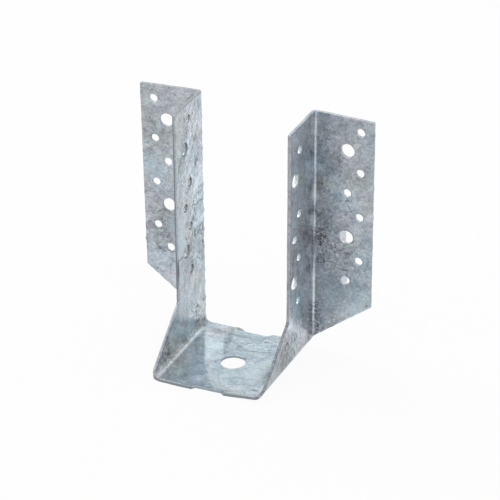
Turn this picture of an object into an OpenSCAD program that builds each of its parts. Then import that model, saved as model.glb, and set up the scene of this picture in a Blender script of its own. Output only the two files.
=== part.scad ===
// Face-fixed joist hanger, folded from one piece of galvanised sheet.
// A blank is punched, then folded up at both sides of the seat to make the legs,
// and outwards at the back of each leg to make the nailing flanges.
//
// Frame: millimetres, +Z up, +Y towards the supporting header.
// The origin is the centre of the footprint, on the plane that the seat rests on.

/* [Joist pocket] */
// Clear width between the legs, for a 75 mm joist
pocket_w = 76; // [60:1:120]
// Height from the underside of the seat to the top of the legs
hanger_h = 169; // [155:1:240]

/* [Sheet] */
// Thickness of the steel sheet
sheet_t = 2; // [1.5:0.1:3]
// Inside radius of the folds between the seat and the legs
seat_fold_r = 4.5; // [2:0.5:6]
// Inside radius of the folds between the legs and the flanges
flange_fold_r = 1.5; // [1:0.25:3]
// Radius on the outer corners of the blank
corner_r = 1.2; // [0.6:0.1:2]

/* [Seat] */
// Depth from the back of the flanges to the front edge of the seat
seat_d = 85.5; // [72:0.5:110]
// Bore of the hole in the seat
seat_hole_d = 17; // [10:0.5:22]
// Distance from the back of the flanges to the centre of the seat hole
seat_hole_back = 46; // [38:0.5:54]
// Distance of the seat hole to the right of the middle
seat_hole_aside = 1; // [-6:0.5:6]
// Width of the shallow notches in the front and rear edges of the seat
notch_w = 23; // [14:0.5:30]
// Depth of the notch in the front edge
front_notch_d = 2.4; // [1:0.1:4]
// Depth of the notch in the rear edge
rear_notch_d = 3; // [1:0.1:5]

/* [Legs] */
// Depth of each leg above its slanted foot
leg_d = 43; // [38:0.5:56]
// Height at which the slanted front edge of the foot meets the upright edge
foot_h = 35.5; // [28:0.5:45]

/* [Flanges] */
// Width of each flange from the outside of the leg
flange_w = 41; // [34:0.5:56]
// Height of the outer lower corner of each flange
flange_corner_h = 37; // [28:0.5:42]
// Height at which the slanted lower edge of the flange reaches its leg
flange_root_h = 4.3; // [3:0.1:6]

/* [Flange holes] */
// Diameter of the nail holes
nail_d = 5.5; // [4:0.25:6]
// Diameter of the bolt holes
bolt_d = 9; // [7:0.5:10]
// Rows of holes in each flange, alternating between two columns
flange_rows = 8; // [4:1:8]
// Distance of the outer column from the edge of the flange
outer_inset = 9.4; // [7:0.2:11]
// Distance of the inner column from the edge of the flange
inner_inset = 18.1; // [15:0.2:22]
// Distance of the first row below the top
first_row_drop = 10.4; // [7:0.1:14]
// Spacing of the first three rows
close_pitch = 14.2; // [11:0.1:15]
// Spacing of the rows below them
row_pitch = 15.7; // [12:0.1:16]

/* [Leg holes] */
// Distance of the front column from the upright front edge of the leg
front_inset = 9.2; // [6:0.1:12]
// Distance of the rear column from the upright front edge of the leg
rear_inset = 16.4; // [12:0.2:20]
// Distance of the topmost nail hole below the top
top_nail_drop = 16.8; // [12:0.2:20]
// Distance of the upper bolt hole below the top
top_bolt_drop = 35.4; // [28:0.2:42]
// Distance of the staggered group of five below the top
group_drop = 61.5; // [52:0.5:64]
// How much higher the holes of the left leg are, so that nails from both sides pass each other
left_holes_up = 6.2; // [0:0.1:7]
// How much further back the holes of the left leg are
left_holes_back = 3.4; // [0:0.1:6]

/* [Hidden] */
$fn = 64;

steel = [0.66, 0.69, 0.72];

// How far cutting shapes run past the sheet that they cut.
past = 2;

// Outside half width of the channel that the seat and legs make.
channel_x = pocket_w / 2 + sheet_t;

// Outer edges of the flanges.
flange_x = channel_x + flange_w;

// Fold line between leg and flange, and the rear edge of the seat.
fold_y = -(sheet_t + flange_fold_r);

// Rows of the staggered group in each leg, with the bolt hole in its fourth row.
group_rows = 5;
group_bolt_row = 3;

// Distance of a flange row below the top: three close rows, then even ones.
function flange_drop(row) = first_row_drop + min(row, 2) * close_pitch + max(row - 2, 0) * row_pitch;

// Every fourth row of a flange, from the second, is a bolt hole.
function flange_hole_d(row) = row % 4 == 1 ? bolt_d : nail_d;

// Flange rows alternate between the outer and the inner column.
function flange_inset(row) = row % 2 == 0 ? outer_inset : inner_inset;

// Unit vector along v.
function unit(v) = v / norm(v);

// Waste outside a rounded corner of an outline. The two edges leave the corner
// at p towards a and towards b.
module corner_waste(p, a, b, r = corner_r) {
    to_a = unit(a - p);
    to_b = unit(b - p);
    middle = unit(to_a + to_b);
    half_sine = norm(to_a - to_b) / 2;
    centre = p + middle * r / half_sine;
    foot_a = p + to_a * ((centre - p) * to_a);
    foot_b = p + to_b * ((centre - p) * to_b);
    difference() {
        polygon([
            p - middle * r,
            centre + (foot_a - centre) * 1.5,
            centre,
            centre + (foot_b - centre) * 1.5
        ]);
        translate(centre) circle(r);
    }
}

// Upright trough with rounded lower corners, open at the top.
module trough(half_w, r, floor_z, top_z) {
    translate([-half_w, floor_z + r]) square([2 * half_w, top_z - floor_z - r]);
    translate([r - half_w, floor_z]) square([2 * (half_w - r), 2 * r]);
    for (side = [-1, 1])
        translate([side * (half_w - r), floor_z + r]) circle(r);
}

// Seat and legs seen from the front, with their two folds.
module channel_section() {
    difference() {
        trough(channel_x, seat_fold_r + sheet_t, 0, hanger_h);
        trough(pocket_w / 2, seat_fold_r, sheet_t, hanger_h + past);
    }
}

// Seat and leg seen from the side: the square front of the seat, the slanted foot and
// the upright leg.
module leg_outline() {
    top_front = [-leg_d, hanger_h];
    foot_top = [-leg_d, foot_h];
    top_back = [fold_y, hanger_h];
    difference() {
        polygon([[-seat_d, 0], [-seat_d, sheet_t], foot_top, top_front, top_back, [fold_y, 0]]);
        corner_waste(top_front, foot_top, top_back);
    }
}

// Shallow notch with slanted ends. Its mouth is on y = 0 and it opens upwards.
module notch(depth) {
    half_w = notch_w / 2;
    polygon([
        [-half_w - past, -past],
        [half_w + past, -past],
        [half_w - depth, depth],
        [depth - half_w, depth]
    ]);
}

// The channel of seat and legs, cut to its outline, with the notches in the seat.
module channel() {
    difference() {
        intersection() {
            rotate([90, 0, 0]) linear_extrude(seat_d) channel_section();
            translate([-channel_x - past, 0, 0])
                rotate([90, 0, 90]) linear_extrude(2 * (channel_x + past)) leg_outline();
        }
        translate([0, -seat_d, -past]) linear_extrude(sheet_t + 2 * past) notch(front_notch_d);
        translate([0, fold_y, -past])
            linear_extrude(sheet_t + 2 * past) mirror([0, 1]) notch(rear_notch_d);
    }
}

// Right-hand flange and its fold seen from above.
module flange_section() {
    fold_x = channel_x + flange_fold_r;
    outer_r = flange_fold_r + sheet_t;
    translate([fold_x, -sheet_t]) square([flange_x - fold_x, sheet_t]);
    intersection() {
        translate([fold_x, fold_y]) difference() {
            circle(outer_r);
            circle(flange_fold_r);
        }
        translate([fold_x - outer_r, fold_y]) square(outer_r);
    }
}

// Right-hand flange seen from the front, with its slanted lower edge.
module flange_outline() {
    top_inner = [pocket_w / 2, hanger_h];
    top_outer = [flange_x, hanger_h];
    low_outer = [flange_x, flange_corner_h];
    low_inner = [pocket_w / 2, flange_root_h];
    difference() {
        polygon([top_inner, top_outer, low_outer, low_inner]);
        corner_waste(top_outer, top_inner, low_outer);
        corner_waste(low_outer, top_outer, low_inner);
    }
}

// Right-hand flange with its fold.
module flange() {
    intersection() {
        linear_extrude(hanger_h) flange_section();
        translate([0, past, 0]) rotate([90, 0, 0]) linear_extrude(sheet_t + 4 * past) flange_outline();
    }
}

// Drills for the right-hand flange, along Y.
module flange_drills() {
    for (row = [0 : flange_rows - 1])
        translate([flange_x - flange_inset(row), past, hanger_h - flange_drop(row)])
            rotate([90, 0, 0]) cylinder(d = flange_hole_d(row), h = sheet_t + 2 * past);
}

// One drill through the left leg (side = -1) or the right leg (side = 1), along X.
module leg_drill(side, inset, drop, d) {
    back = side < 0 ? left_holes_back : 0;
    up = side < 0 ? left_holes_up : 0;
    translate([side * (channel_x - sheet_t / 2), inset - leg_d + back, hanger_h - drop + up])
        rotate([0, 90, 0]) cylinder(d = d, h = sheet_t + 2 * past, center = true);
}

// Every hole in one leg.
module leg_drills(side) {
    leg_drill(side, rear_inset, top_nail_drop, nail_d);
    leg_drill(side, front_inset, top_bolt_drop, bolt_d);
    for (row = [0 : group_rows - 1])
        leg_drill(
            side,
            row % 2 == 0 ? rear_inset : front_inset,
            group_drop + row * row_pitch,
            row == group_bolt_row ? bolt_d : nail_d
        );
}

// The hole in the seat.
module seat_drill() {
    translate([seat_hole_aside, -seat_hole_back, -past]) cylinder(d = seat_hole_d, h = sheet_t + 2 * past);
}

// The whole hanger. Inside this module y = 0 is the back of the flanges.
module hanger() {
    color(steel) translate([0, seat_d / 2, 0]) difference() {
        union() {
            channel();
            for (side = [0, 1])
                mirror([side, 0, 0]) flange();
        }
        for (side = [0, 1])
            mirror([side, 0, 0]) flange_drills();
        for (side = [-1, 1])
            leg_drills(side);
        seat_drill();
    }
}

hanger();
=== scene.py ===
"""Looks of a galvanised joist hanger, dressed around its CAD frame.

The hanger is made here as a workshop makes it. A blank is laid out flat with its outline
and its holes, its sheared edges are rounded, a lumpy zinc coat is laid on both faces, and
the sheet is folded up to the places that the CAD node gives. Lengths are in millimetres
until the mesh is written, which is in metres.
"""

import logging
import math
from dataclasses import dataclass, field
from enum import Enum, IntEnum

import bpy
import numpy as np
from mathutils import Matrix, Vector, geometry, kdtree, noise


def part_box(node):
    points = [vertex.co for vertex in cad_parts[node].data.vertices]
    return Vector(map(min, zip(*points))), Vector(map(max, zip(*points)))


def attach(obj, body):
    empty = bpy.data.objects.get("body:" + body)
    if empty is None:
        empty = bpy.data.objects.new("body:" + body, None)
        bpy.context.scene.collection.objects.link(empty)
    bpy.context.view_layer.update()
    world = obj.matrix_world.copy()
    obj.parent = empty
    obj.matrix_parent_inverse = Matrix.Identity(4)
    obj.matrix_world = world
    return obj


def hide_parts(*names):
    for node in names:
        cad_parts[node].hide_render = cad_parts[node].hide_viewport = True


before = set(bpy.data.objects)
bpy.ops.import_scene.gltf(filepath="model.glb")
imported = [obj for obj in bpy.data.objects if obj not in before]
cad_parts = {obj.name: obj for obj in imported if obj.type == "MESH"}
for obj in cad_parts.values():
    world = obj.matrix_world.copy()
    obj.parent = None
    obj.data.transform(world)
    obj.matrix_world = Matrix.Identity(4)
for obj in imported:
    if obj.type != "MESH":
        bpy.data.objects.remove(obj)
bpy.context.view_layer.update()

MM = 0.001
NODE = "hanger"
QUARTER_TURN = math.pi / 2
# Distances that stand for no mark at all, and the largest that the mesh keeps.
FAR, NEAR = 99.0, 9.0
# Layers of the noise, so that no two of its fields are alike.
WAVE_LAYER, EDGE_LAYER, COAT_LAYER, SKIN_STEP, GRAIN_STEP = 3.1, 27.3, 11.0, 7.0, 2.5
PANEL_GAP, SKIN_GAP = 40.0, 15.0
# Numbers kept on the vertices of the mesh for the material, besides edge, crack and vein.
MAPS = ("wild", "tone_and_painted_light", "painted_highlight", "ash_and_shade", "rust", "blue", "moss", "gloss", "speck", "worm")
LOG = logging.getLogger("joist_hanger")


class Side(IntEnum):
    """The side of the hanger, seen from the front, and the sign of X there."""

    LEFT = -1
    RIGHT = 1


class Skin(IntEnum):
    """A face of the sheet, and the sign of its distance from the middle of the sheet.

    INNER is the top of the seat, the pocket side of the legs and the back of the flanges.
    OUTER is the underside of the seat, the outside of the legs and the front of the flanges.
    """

    INNER = 1
    OUTER = -1


class Panel(Enum):
    """A flat panel of the folded sheet."""

    SEAT = "seat"
    LEG = "leg"
    FLANGE = "flange"


@dataclass(frozen=True)
class Corner:
    """A corner of an outline on the blank, and the radius that rounds it."""

    across: float
    back: float
    radius: float = 0.0


@dataclass(frozen=True)
class Hole:
    """A round punched hole.

    Attributes:
        across: its place on the blank.
        back: its place on the blank.
        radius: its radius.
        entry: the face that the punch went in at.
        bore_shade: how far painted shade darkens its wall at the other face, standing for the shade inside
            the bore.
        burnish_highlight: how bright the punch left its wall at the entry, painted in as a highlight.
    """

    across: float
    back: float
    radius: float
    entry: Skin
    bore_shade: float = 0.5
    burnish_highlight: float = 0.0

    def gap(self, points: np.ndarray) -> np.ndarray:
        """Returns how far (across, back) rows lie outside it."""
        return np.hypot(points[:, 0] - self.across, points[:, 1] - self.back) - self.radius


@dataclass
class Loop:
    """A closed run of points round an edge, with the waste on its right-hand side.

    Attributes:
        points: one (across, back) row for each point.
        normals: one unit row for each point, from the metal towards the waste.
        hole: the hole, or nothing for the outline.
    """

    points: np.ndarray
    normals: np.ndarray
    hole: Hole | None = None

    def inset(self, distance: float) -> np.ndarray:
        """Returns the points moved into the metal by a distance."""
        return self.points - self.normals * distance


def unit(vector: np.ndarray) -> np.ndarray:
    """Returns a vector at unit length."""
    return vector / np.linalg.norm(vector)


def smooth_step(values: np.ndarray, low: float, high: float) -> np.ndarray:
    """Returns 0 below low, 1 above high and a smooth rise between them."""
    t = np.clip((values - low) / (high - low), 0.0, 1.0)
    return t * t * (3.0 - 2.0 * t)


def round_off(corner: Corner, before: Corner, after: Corner, step: float) -> Loop:
    """Walks round one corner of an outline.

    Args:
        corner: the corner.
        before: the corner before it.
        after: the corner after it.
        step: the largest distance between two points of an outline.

    Returns:
        The points on its radius, twice as close together, or the one point of a sharp corner.
    """
    here = np.array((corner.across, corner.back))
    to_before = unit(np.array((before.across, before.back)) - here)
    to_after = unit(np.array((after.across, after.back)) - here)
    along = unit(to_after - to_before)
    outward = np.array((along[1], -along[0]))
    if corner.radius == 0.0:
        return Loop(here[None], outward[None])
    half = 0.5 * math.acos(float(np.clip(to_before @ to_after, -1.0, 1.0)))
    centre = here + unit(to_before + to_after) * corner.radius / math.sin(half)
    bulge = 1.0 if outward @ (here - centre) > 0 else -1.0
    sweep = math.pi - 2.0 * half
    pieces = max(3, math.ceil(corner.radius * sweep / (0.5 * step)))
    angles = bulge * sweep * (np.arange(pieces + 1) / pieces - 0.5)
    spokes = bulge * (np.outer(np.cos(angles), outward) + np.outer(np.sin(angles), along))
    return Loop(centre + spokes * corner.radius, spokes * bulge)


def trace(corners: list[Corner], step: float) -> Loop:
    """Walks round an outline with rounded corners.

    Args:
        corners: the corners in order, with the metal on the left-hand side.
        step: the largest distance between two points.

    Returns:
        The loop of points.
    """
    before, after = corners[-1:] + corners[:-1], corners[1:] + corners[:1]
    turns = [round_off(*three, step) for three in zip(corners, before, after)]
    points, normals = [], []
    for turn, following in zip(turns, turns[1:] + turns[:1]):
        start, end = turn.points[-1], following.points[0]
        gap = float(np.linalg.norm(end - start))
        along = (end - start) / gap
        pieces = math.ceil(gap / step)
        shares = np.arange(1, pieces) / pieces
        points += [turn.points, start + np.outer(shares, end - start)]
        normals += [turn.normals, np.tile((along[1], -along[0]), (pieces - 1, 1))]
    return Loop(np.vstack(points), np.vstack(normals))


def ring(hole: Hole, step: float) -> Loop:
    """Walks round a hole, with the metal on the left-hand side.

    Args:
        hole: the hole.
        step: the largest distance between two points.

    Returns:
        The loop of points.
    """
    count = max(24, math.ceil(2.0 * math.pi * hole.radius / step))
    angles = -np.arange(count) * 2.0 * math.pi / count
    spokes = np.column_stack((np.cos(angles), np.sin(angles)))
    return Loop(np.array((hole.across, hole.back)) + spokes * hole.radius, -spokes, hole)


@dataclass(frozen=True)
class Bends:
    """Small bends away from the true shape, left by folding and handling.

    Attributes:
        right_lean: how far the right leg leans in at the seat.
        left_flange_deg: how far the left flange is folded past square.
        right_flange_deg: how far the right flange is folded past square.
        right_sag: how far the right flange drops towards its outer edge.
        left_lift: how far the left flange rises towards its outer edge.
        left_skew: how much further the left flange reaches at its top than at its foot.
        left_punch: how far up the holes of the left flange were punched off their place.
        right_punch: how far up the holes of the right flange were punched off their place.
        right_cut: how far back the front edge of the right leg was sheared off its place.
        seat_rise: how far the seat rises towards its folds.
        corner_rise: how far the right front corner of the seat is bent up.
        corner_start: how far from the middle of the seat that bend begins.
        corner_end: how far from the middle of the seat it is complete.
        corner_height: the height on the right leg at which it has died out.
        skew_level: the height at which the left flange keeps its reach, as a share of the whole.
    """

    right_lean: float = 2.0
    left_flange_deg: float = 3.2
    right_flange_deg: float = 2.6
    right_sag: float = 1.1
    left_lift: float = 0.1
    left_skew: float = 1.8
    left_punch: float = 0.2
    right_punch: float = 1.1
    right_cut: float = 1.1
    seat_rise: float = 0.8
    corner_rise: float = 1.35
    corner_start: float = 6.0
    corner_end: float = 34.0
    corner_height: float = 36.0
    skew_level: float = 0.9


@dataclass
class Blank:
    """The punched blank, flat, and how it folds up.

    A place on the blank is given as (across, back). across runs from the middle of the
    seat over a fold and up a leg, and is negative on the left. back runs from the front of
    the seat over the fold at the rear of a leg and out along a flange.

    Attributes:
        half_width, height, depth: the size of the CAD node, with half its width.
        bends: its small bends.
        pocket_w: the clear width between the legs.
        thickness: the thickness of the sheet.
        seat_fold_r, flange_fold_r: the inside radii of the folds.
        corner_r, nick_r: the radii of its outer corners and of the notches.
        notch_half_w, front_notch_d, rear_notch_d: the size of the notches in the seat.
        leg_depth: the depth of a leg above its foot, from the back.
        foot_h: the height at which the slanted edge of a foot ends.
        flange_corner_h, flange_root_h: the heights of the two ends of a flange's lower edge.
        web: how far the web at the root of a flange reaches below its leg.
        edge_slack: the room that the waves of an edge have inside the size of the CAD node.
        nail_r, bolt_r, seat_hole_r: the radii of the holes.
        seat_hole_back, seat_hole_aside: the place of the seat hole, from the back and the middle.
        flange_rows: the rows of holes in a flange.
        filmed_rows: those that have films of zinc, in the right flange.
        outer_inset, inner_inset: the two columns of a flange, from its edge.
        first_row_drop, close_pitch, row_pitch: the first row, and the spacing of the first
            three and of the others.
        front_inset, rear_inset: the two columns of a leg, from its front edge.
        top_nail_drop, top_bolt_drop, group_drop: the heights of a leg's holes, from the top.
        group_rows, group_bolt_row: the rows of the staggered group, and the one with a bolt hole.
        left_holes_up, left_holes_back: how far the holes of the left leg are off the others.
    """

    half_width: float
    height: float
    depth: float
    bends: Bends
    pocket_w: float = 76.0
    thickness: float = 2.0
    seat_fold_r: float = 4.5
    flange_fold_r: float = 1.5
    corner_r: float = 1.2
    nick_r: float = 0.6
    notch_half_w: float = 11.5
    front_notch_d: float = 2.4
    rear_notch_d: float = 3.0
    leg_depth: float = 43.0
    foot_h: float = 35.5
    flange_corner_h: float = 37.0
    flange_root_h: float = 6.3
    web: float = 3.4
    edge_slack: float = 0.3
    nail_r: float = 2.75
    bolt_r: float = 4.5
    seat_hole_r: float = 8.5
    seat_hole_back: float = 46.0
    seat_hole_aside: float = 1.0
    flange_rows: int = 8
    filmed_rows: tuple[int, ...] = (5, 7)
    outer_inset: float = 9.4
    inner_inset: float = 18.1
    first_row_drop: float = 10.4
    close_pitch: float = 14.2
    row_pitch: float = 15.7
    front_inset: float = 9.2
    rear_inset: float = 16.4
    top_nail_drop: float = 16.8
    top_bolt_drop: float = 35.4
    group_drop: float = 61.5
    group_rows: int = 5
    group_bolt_row: int = 3
    left_holes_up: float = 6.2
    left_holes_back: float = 3.4

    def __post_init__(self) -> None:
        """Works out the stations where folds begin and end."""
        self.leg_x = (self.pocket_w + self.thickness) / 2
        self.seat_flat = self.pocket_w / 2 - self.seat_fold_r
        self.seat_mid_r = self.seat_fold_r + self.thickness / 2
        self.fold_z = self.seat_fold_r + self.thickness
        self.leg_start = self.seat_flat + QUARTER_TURN * self.seat_mid_r
        self.flange_mid_r = self.flange_fold_r + self.thickness / 2
        self.front = -self.depth / 2
        self.fold_back = self.depth / 2 - self.thickness - self.flange_fold_r
        self.flange_start = self.fold_back + QUARTER_TURN * self.flange_mid_r
        self.flange_x = self.leg_x + self.flange_mid_r
        self.flange_flat = self.half_width - self.flange_x
        self.seat_run = self.fold_back - self.front
        self.leg_front = self.depth / 2 - self.leg_depth

    def up_leg(self, height: float) -> float:
        """Returns the across station of a height on a leg."""
        return self.leg_start + height - self.fold_z

    def out_flange(self, x: float) -> float:
        """Returns the back station of a distance from the middle plane on a flange."""
        return self.flange_start + x - self.flange_x

    def station(self, panel: Panel, side: Side, first: float, height: float) -> tuple[float, float]:
        """Finds a place of the folded hanger on the blank.

        Args:
            panel: the panel that the place is on.
            side: its side, which a seat doesn't use.
            first: X on the seat, Y on a leg, or the distance from the middle on a flange.
            height: Z on a leg or a flange, or Y on the seat.

        Returns:
            The place as (across, back).
        """
        if panel is Panel.SEAT:
            return first, height
        if panel is Panel.LEG:
            return side * self.up_leg(height), first
        return side * self.up_leg(height), self.out_flange(first)

    def foot_run(self, cut: float) -> list[Corner]:
        """Returns the front edge of the right foot, from the seat up to the leg.

        Args:
            cut: how far back the upright front edge of the leg is off its place.

        Returns:
            The corners of that edge.
        """
        rise = (self.leg_front - self.front) / (self.foot_h - self.thickness)
        first = math.acos((self.fold_z - self.thickness) / self.seat_mid_r)
        run = [Corner(self.seat_flat + first * self.seat_mid_r, self.front, 1.0)]
        for share in (0.35, 0.7, 1.0):
            angle = first + (QUARTER_TURN - first) * share
            height = self.fold_z - self.seat_mid_r * math.cos(angle)
            back = self.front + (height - self.thickness) * rise
            run.append(Corner(self.seat_flat + angle * self.seat_mid_r, back))
        run.append(Corner(self.up_leg(self.foot_h + cut / rise), self.leg_front + cut, 2.0))
        return run

    def half_outline(self, cut: float) -> list[Corner]:
        """Returns the corners of the right half, from the front notch to the rear notch.

        Args:
            cut: how far back the upright front edge of the leg is off its place.

        Returns:
            The corners in order, with the metal on the left-hand side.
        """
        top = self.up_leg(self.height) - self.edge_slack
        edge = self.out_flange(self.half_width) - self.edge_slack
        half = self.notch_half_w
        return [
            Corner(half - self.front_notch_d, self.front + self.front_notch_d, self.nick_r),
            Corner(half, self.front, self.nick_r),
            *self.foot_run(cut),
            Corner(top, self.leg_front + cut, self.corner_r),
            Corner(top, self.fold_back),
            Corner(top, edge, self.corner_r),
            Corner(self.up_leg(self.flange_corner_h), edge, self.corner_r),
            Corner(self.up_leg(self.flange_root_h), self.flange_start, 1.5),
            Corner(self.leg_start - self.web, self.fold_back, self.nick_r),
            Corner(half, self.fold_back, self.nick_r),
            Corner(half - self.rear_notch_d, self.fold_back - self.rear_notch_d, self.nick_r),
        ]

    def outline(self) -> list[Corner]:
        """Returns the corners of the whole blank, with the metal on the left-hand side."""
        right = self.half_outline(self.bends.right_cut)
        left = [Corner(-c.across, c.back, c.radius) for c in reversed(self.half_outline(0.0))]
        return right + left

    def flange_holes(self, side: Side) -> list[Hole]:
        """Returns the holes of one flange, from the top down.

        Args:
            side: the side of the flange.

        Returns:
            The holes, alternating between the outer and the inner column.
        """
        holes = []
        off = self.bends.right_punch if side is Side.RIGHT else self.bends.left_punch
        for row in range(self.flange_rows):
            close_rows, even_rows = min(row, 2), max(row - 2, 0)
            drop = self.first_row_drop + close_rows * self.close_pitch + even_rows * self.row_pitch
            inset = self.inner_inset if row % 2 else self.outer_inset
            radius = self.bolt_r if row % 4 == 1 else self.nail_r
            across = side * self.up_leg(self.height - drop + off)
            back = self.out_flange(self.half_width - inset)
            filmed = side is Side.RIGHT and row in self.filmed_rows
            # The bores get painted shade, except those that a film of zinc covers.
            holes.append(Hole(across, back, radius, Skin.INNER, 0.0 if filmed else 0.5))
        return holes

    def leg_holes(self, side: Side) -> list[Hole]:
        """Returns the holes of one leg, from the top down.

        Args:
            side: the side of the leg.

        Returns:
            The two upper holes and the staggered group below them.
        """
        left = side is Side.LEFT
        up = self.left_holes_up if left else 0.0
        back = self.left_holes_back if left else 0.0
        plan = [
            (self.rear_inset, self.top_nail_drop, self.nail_r),
            (self.front_inset, self.top_bolt_drop, self.bolt_r),
        ]
        for row in range(self.group_rows):
            inset = self.front_inset if row % 2 else self.rear_inset
            radius = self.bolt_r if row == self.group_bolt_row else self.nail_r
            plan.append((inset, self.group_drop + row * self.row_pitch, radius))
        # The bores of the left leg get full painted shade; those of the right leg get little, and a painted
        # highlight at their entry.
        entry, bore_shade, burnish_highlight = (Skin.OUTER, 1.0, 0.0) if left else (Skin.INNER, 0.1, 2.0)
        return [
            Hole(
                side * self.up_leg(self.height - drop + up),
                self.leg_front + inset + back,
                radius, entry, bore_shade, burnish_highlight,
            )
            for inset, drop, radius in plan
        ]

    def holes(self) -> list[Hole]:
        """Punches the blank.

        Returns:
            The seat hole first, then those of the left side and of the right side.
        """
        back = self.depth / 2 - self.seat_hole_back
        # The bore of the seat hole gets painted shade.
        holes = [Hole(self.seat_hole_aside, back, self.seat_hole_r, Skin.INNER, 0.9)]
        for side in Side:
            holes += self.flange_holes(side) + self.leg_holes(side)
        return holes

    def fold(self, across: np.ndarray, back: np.ndarray, lift: np.ndarray) -> np.ndarray:
        """Folds places of the blank up to their places on the hanger.

        Args:
            across: stations across the blank.
            back: stations towards the back of the blank.
            lift: distances from the middle of the sheet, positive on the inner skin.

        Returns:
            One (x, y, z) row for each place.
        """
        side = np.where(across < 0, -1.0, 1.0)
        reach = np.abs(across)
        turn = np.clip((reach - self.seat_flat) / self.seat_mid_r, 0.0, QUARTER_TURN)
        radius = self.seat_mid_r - lift
        x = np.minimum(reach, self.seat_flat) + radius * np.sin(turn)
        z = self.fold_z - radius * np.cos(turn) + np.maximum(reach - self.leg_start, 0.0)
        over_bend = np.where(side < 0, self.bends.left_flange_deg, self.bends.right_flange_deg)
        full = QUARTER_TURN + np.radians(over_bend)
        swing = np.clip((back - self.fold_back) / self.flange_mid_r, 0.0, full)
        beyond = np.maximum(back - self.fold_back - full * self.flange_mid_r, 0.0)
        wide = self.flange_mid_r + lift
        swung_x = self.flange_x - wide * np.cos(swing) + beyond * np.sin(full)
        swung_y = self.fold_back + wide * np.sin(swing) + beyond * np.cos(full)
        above_web = smooth_step(reach, self.leg_start - self.web, self.leg_start)
        on_flange = np.where(back > self.fold_back, above_web, 0.0)
        x = x + (swung_x - x) * on_flange
        y = back + (swung_y - back) * on_flange
        x, z = self.bend(side, x, y, z, beyond / self.flange_flat)
        return np.column_stack((side * x, y, z))

    def bend(
        self, side: np.ndarray, x: np.ndarray, y: np.ndarray, z: np.ndarray, out: np.ndarray
    ) -> tuple[np.ndarray, np.ndarray]:
        """Gives folded places the small bends of this one hanger.

        Args:
            side: -1 on the left and 1 on the right.
            x: distances from the middle plane.
            y: distances towards the back.
            z: heights.
            out: distances out along a flange, as a share of its flat part.

        Returns:
            The new distances from the middle plane and the new heights.
        """
        bends = self.bends
        z = z - np.where(side > 0, bends.right_sag, -bends.left_lift) * out
        level = z / self.height
        share = np.minimum(x / self.leg_x, 1.0)
        x = x - np.where(side > 0, bends.right_lean * (1.0 - level) * share, 0.0)
        x = x + np.where(side < 0, bends.left_skew * (level - bends.skew_level) * out, 0.0)
        z = z + bends.seat_rise * np.minimum(x / self.leg_x, 1.0) ** 2 * (1.0 - level)
        corner = smooth_step(x, bends.corner_start, bends.corner_end)
        corner *= np.clip(0.5 - y / self.seat_run, 0.0, 1.0)
        corner *= np.clip(1.0 - z / bends.corner_height, 0.0, 1.0)
        return x, z + np.where(side > 0, bends.corner_rise * corner, 0.0)


@dataclass(frozen=True)
class Spots:
    """Places on the skins of the blank, as arrays of equal length.

    Attributes:
        blank: the blank.
        across: their stations across it.
        back: their stations towards its back.
        skin: the skin of each, as the value of a Skin.
    """

    blank: Blank
    across: np.ndarray
    back: np.ndarray
    skin: np.ndarray

    def __len__(self) -> int:
        """Returns their number."""
        return len(self.across)


@dataclass(frozen=True)
class Canvas:
    """One face of one panel, ready to be marked."""

    panel: Panel
    side: Side
    skin: Skin

    def place(self, blank: Blank, place: tuple[float, float]) -> np.ndarray:
        """Returns where a place of the panel, as Blank.station takes it, lies on the blank."""
        return np.array(blank.station(self.panel, self.side, *place))

    def blobs(self, *rows: tuple[float, ...]) -> "tuple[Blob, ...]":
        """Returns blobs; a row is a place, two half sizes, an amount and any tilt."""
        return tuple(Blob(self, row[:2], *row[2:]) for row in rows)

    def patch(self, amount: float, soft: float, *corners: tuple[float, float]) -> "tuple[Patch]":
        """Returns a patch, alone in a tuple; the arguments are those of Patch."""
        return (Patch(self, corners, soft, amount),)

    def lines(self, *rows: tuple) -> "tuple[Hairline, ...]":
        """Returns hairlines; a row is a width and then the places of the run."""
        return tuple(Hairline(self, row[1:], row[0]) for row in rows)


@dataclass(frozen=True)
class Blob:
    """A mark or a lump, as an ellipse with a soft edge.

    Attributes:
        face: the face that it is on.
        middle: its place on that face.
        length: half its length.
        width: half its width.
        amount: its strength, or its height in millimetres.
        tilt_deg: the turn of its length from the across direction towards the back.
    """

    face: Canvas
    middle: tuple[float, float]
    length: float
    width: float
    amount: float
    tilt_deg: float = 0.0

    def field(self, spots: Spots) -> np.ndarray:
        """Works out its strength, without regard to the skin.

        Args:
            spots: the places.

        Returns:
            One value for each place.
        """
        centre = self.face.place(spots.blank, self.middle)
        tilt = math.radians(self.tilt_deg)
        du, dv = spots.across - centre[0], spots.back - centre[1]
        along = (du * math.cos(tilt) + dv * math.sin(tilt)) / self.length
        over = (dv * math.cos(tilt) - du * math.sin(tilt)) / self.width
        return self.amount * np.exp(-(along**2 + over**2))


@dataclass(frozen=True)
class Patch:
    """A mark with a convex outline and a crisp edge.

    Attributes:
        face: the face that it is on.
        corners: its corners in order.
        soft: the width of its edge.
        amount: its strength.
    """

    face: Canvas
    corners: tuple[tuple[float, float], ...]
    soft: float
    amount: float

    def field(self, spots: Spots) -> np.ndarray:
        """Works out its strength, without regard to the skin.

        Args:
            spots: the places.

        Returns:
            One value for each place.
        """
        places = [self.face.place(spots.blank, corner) for corner in self.corners]
        middle = sum(places) / len(places)
        depth = np.full(len(spots), FAR)
        for start, end in zip(places, places[1:] + places[:1]):
            along = unit(end - start)
            inward = np.array((-along[1], along[0]))
            if inward @ (middle - start) < 0:
                inward = -inward
            gap = (spots.across - start[0]) * inward[0] + (spots.back - start[1]) * inward[1]
            depth = np.minimum(depth, gap)
        return self.amount * smooth_step(depth, -self.soft / 2.0, self.soft / 2.0)


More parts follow.
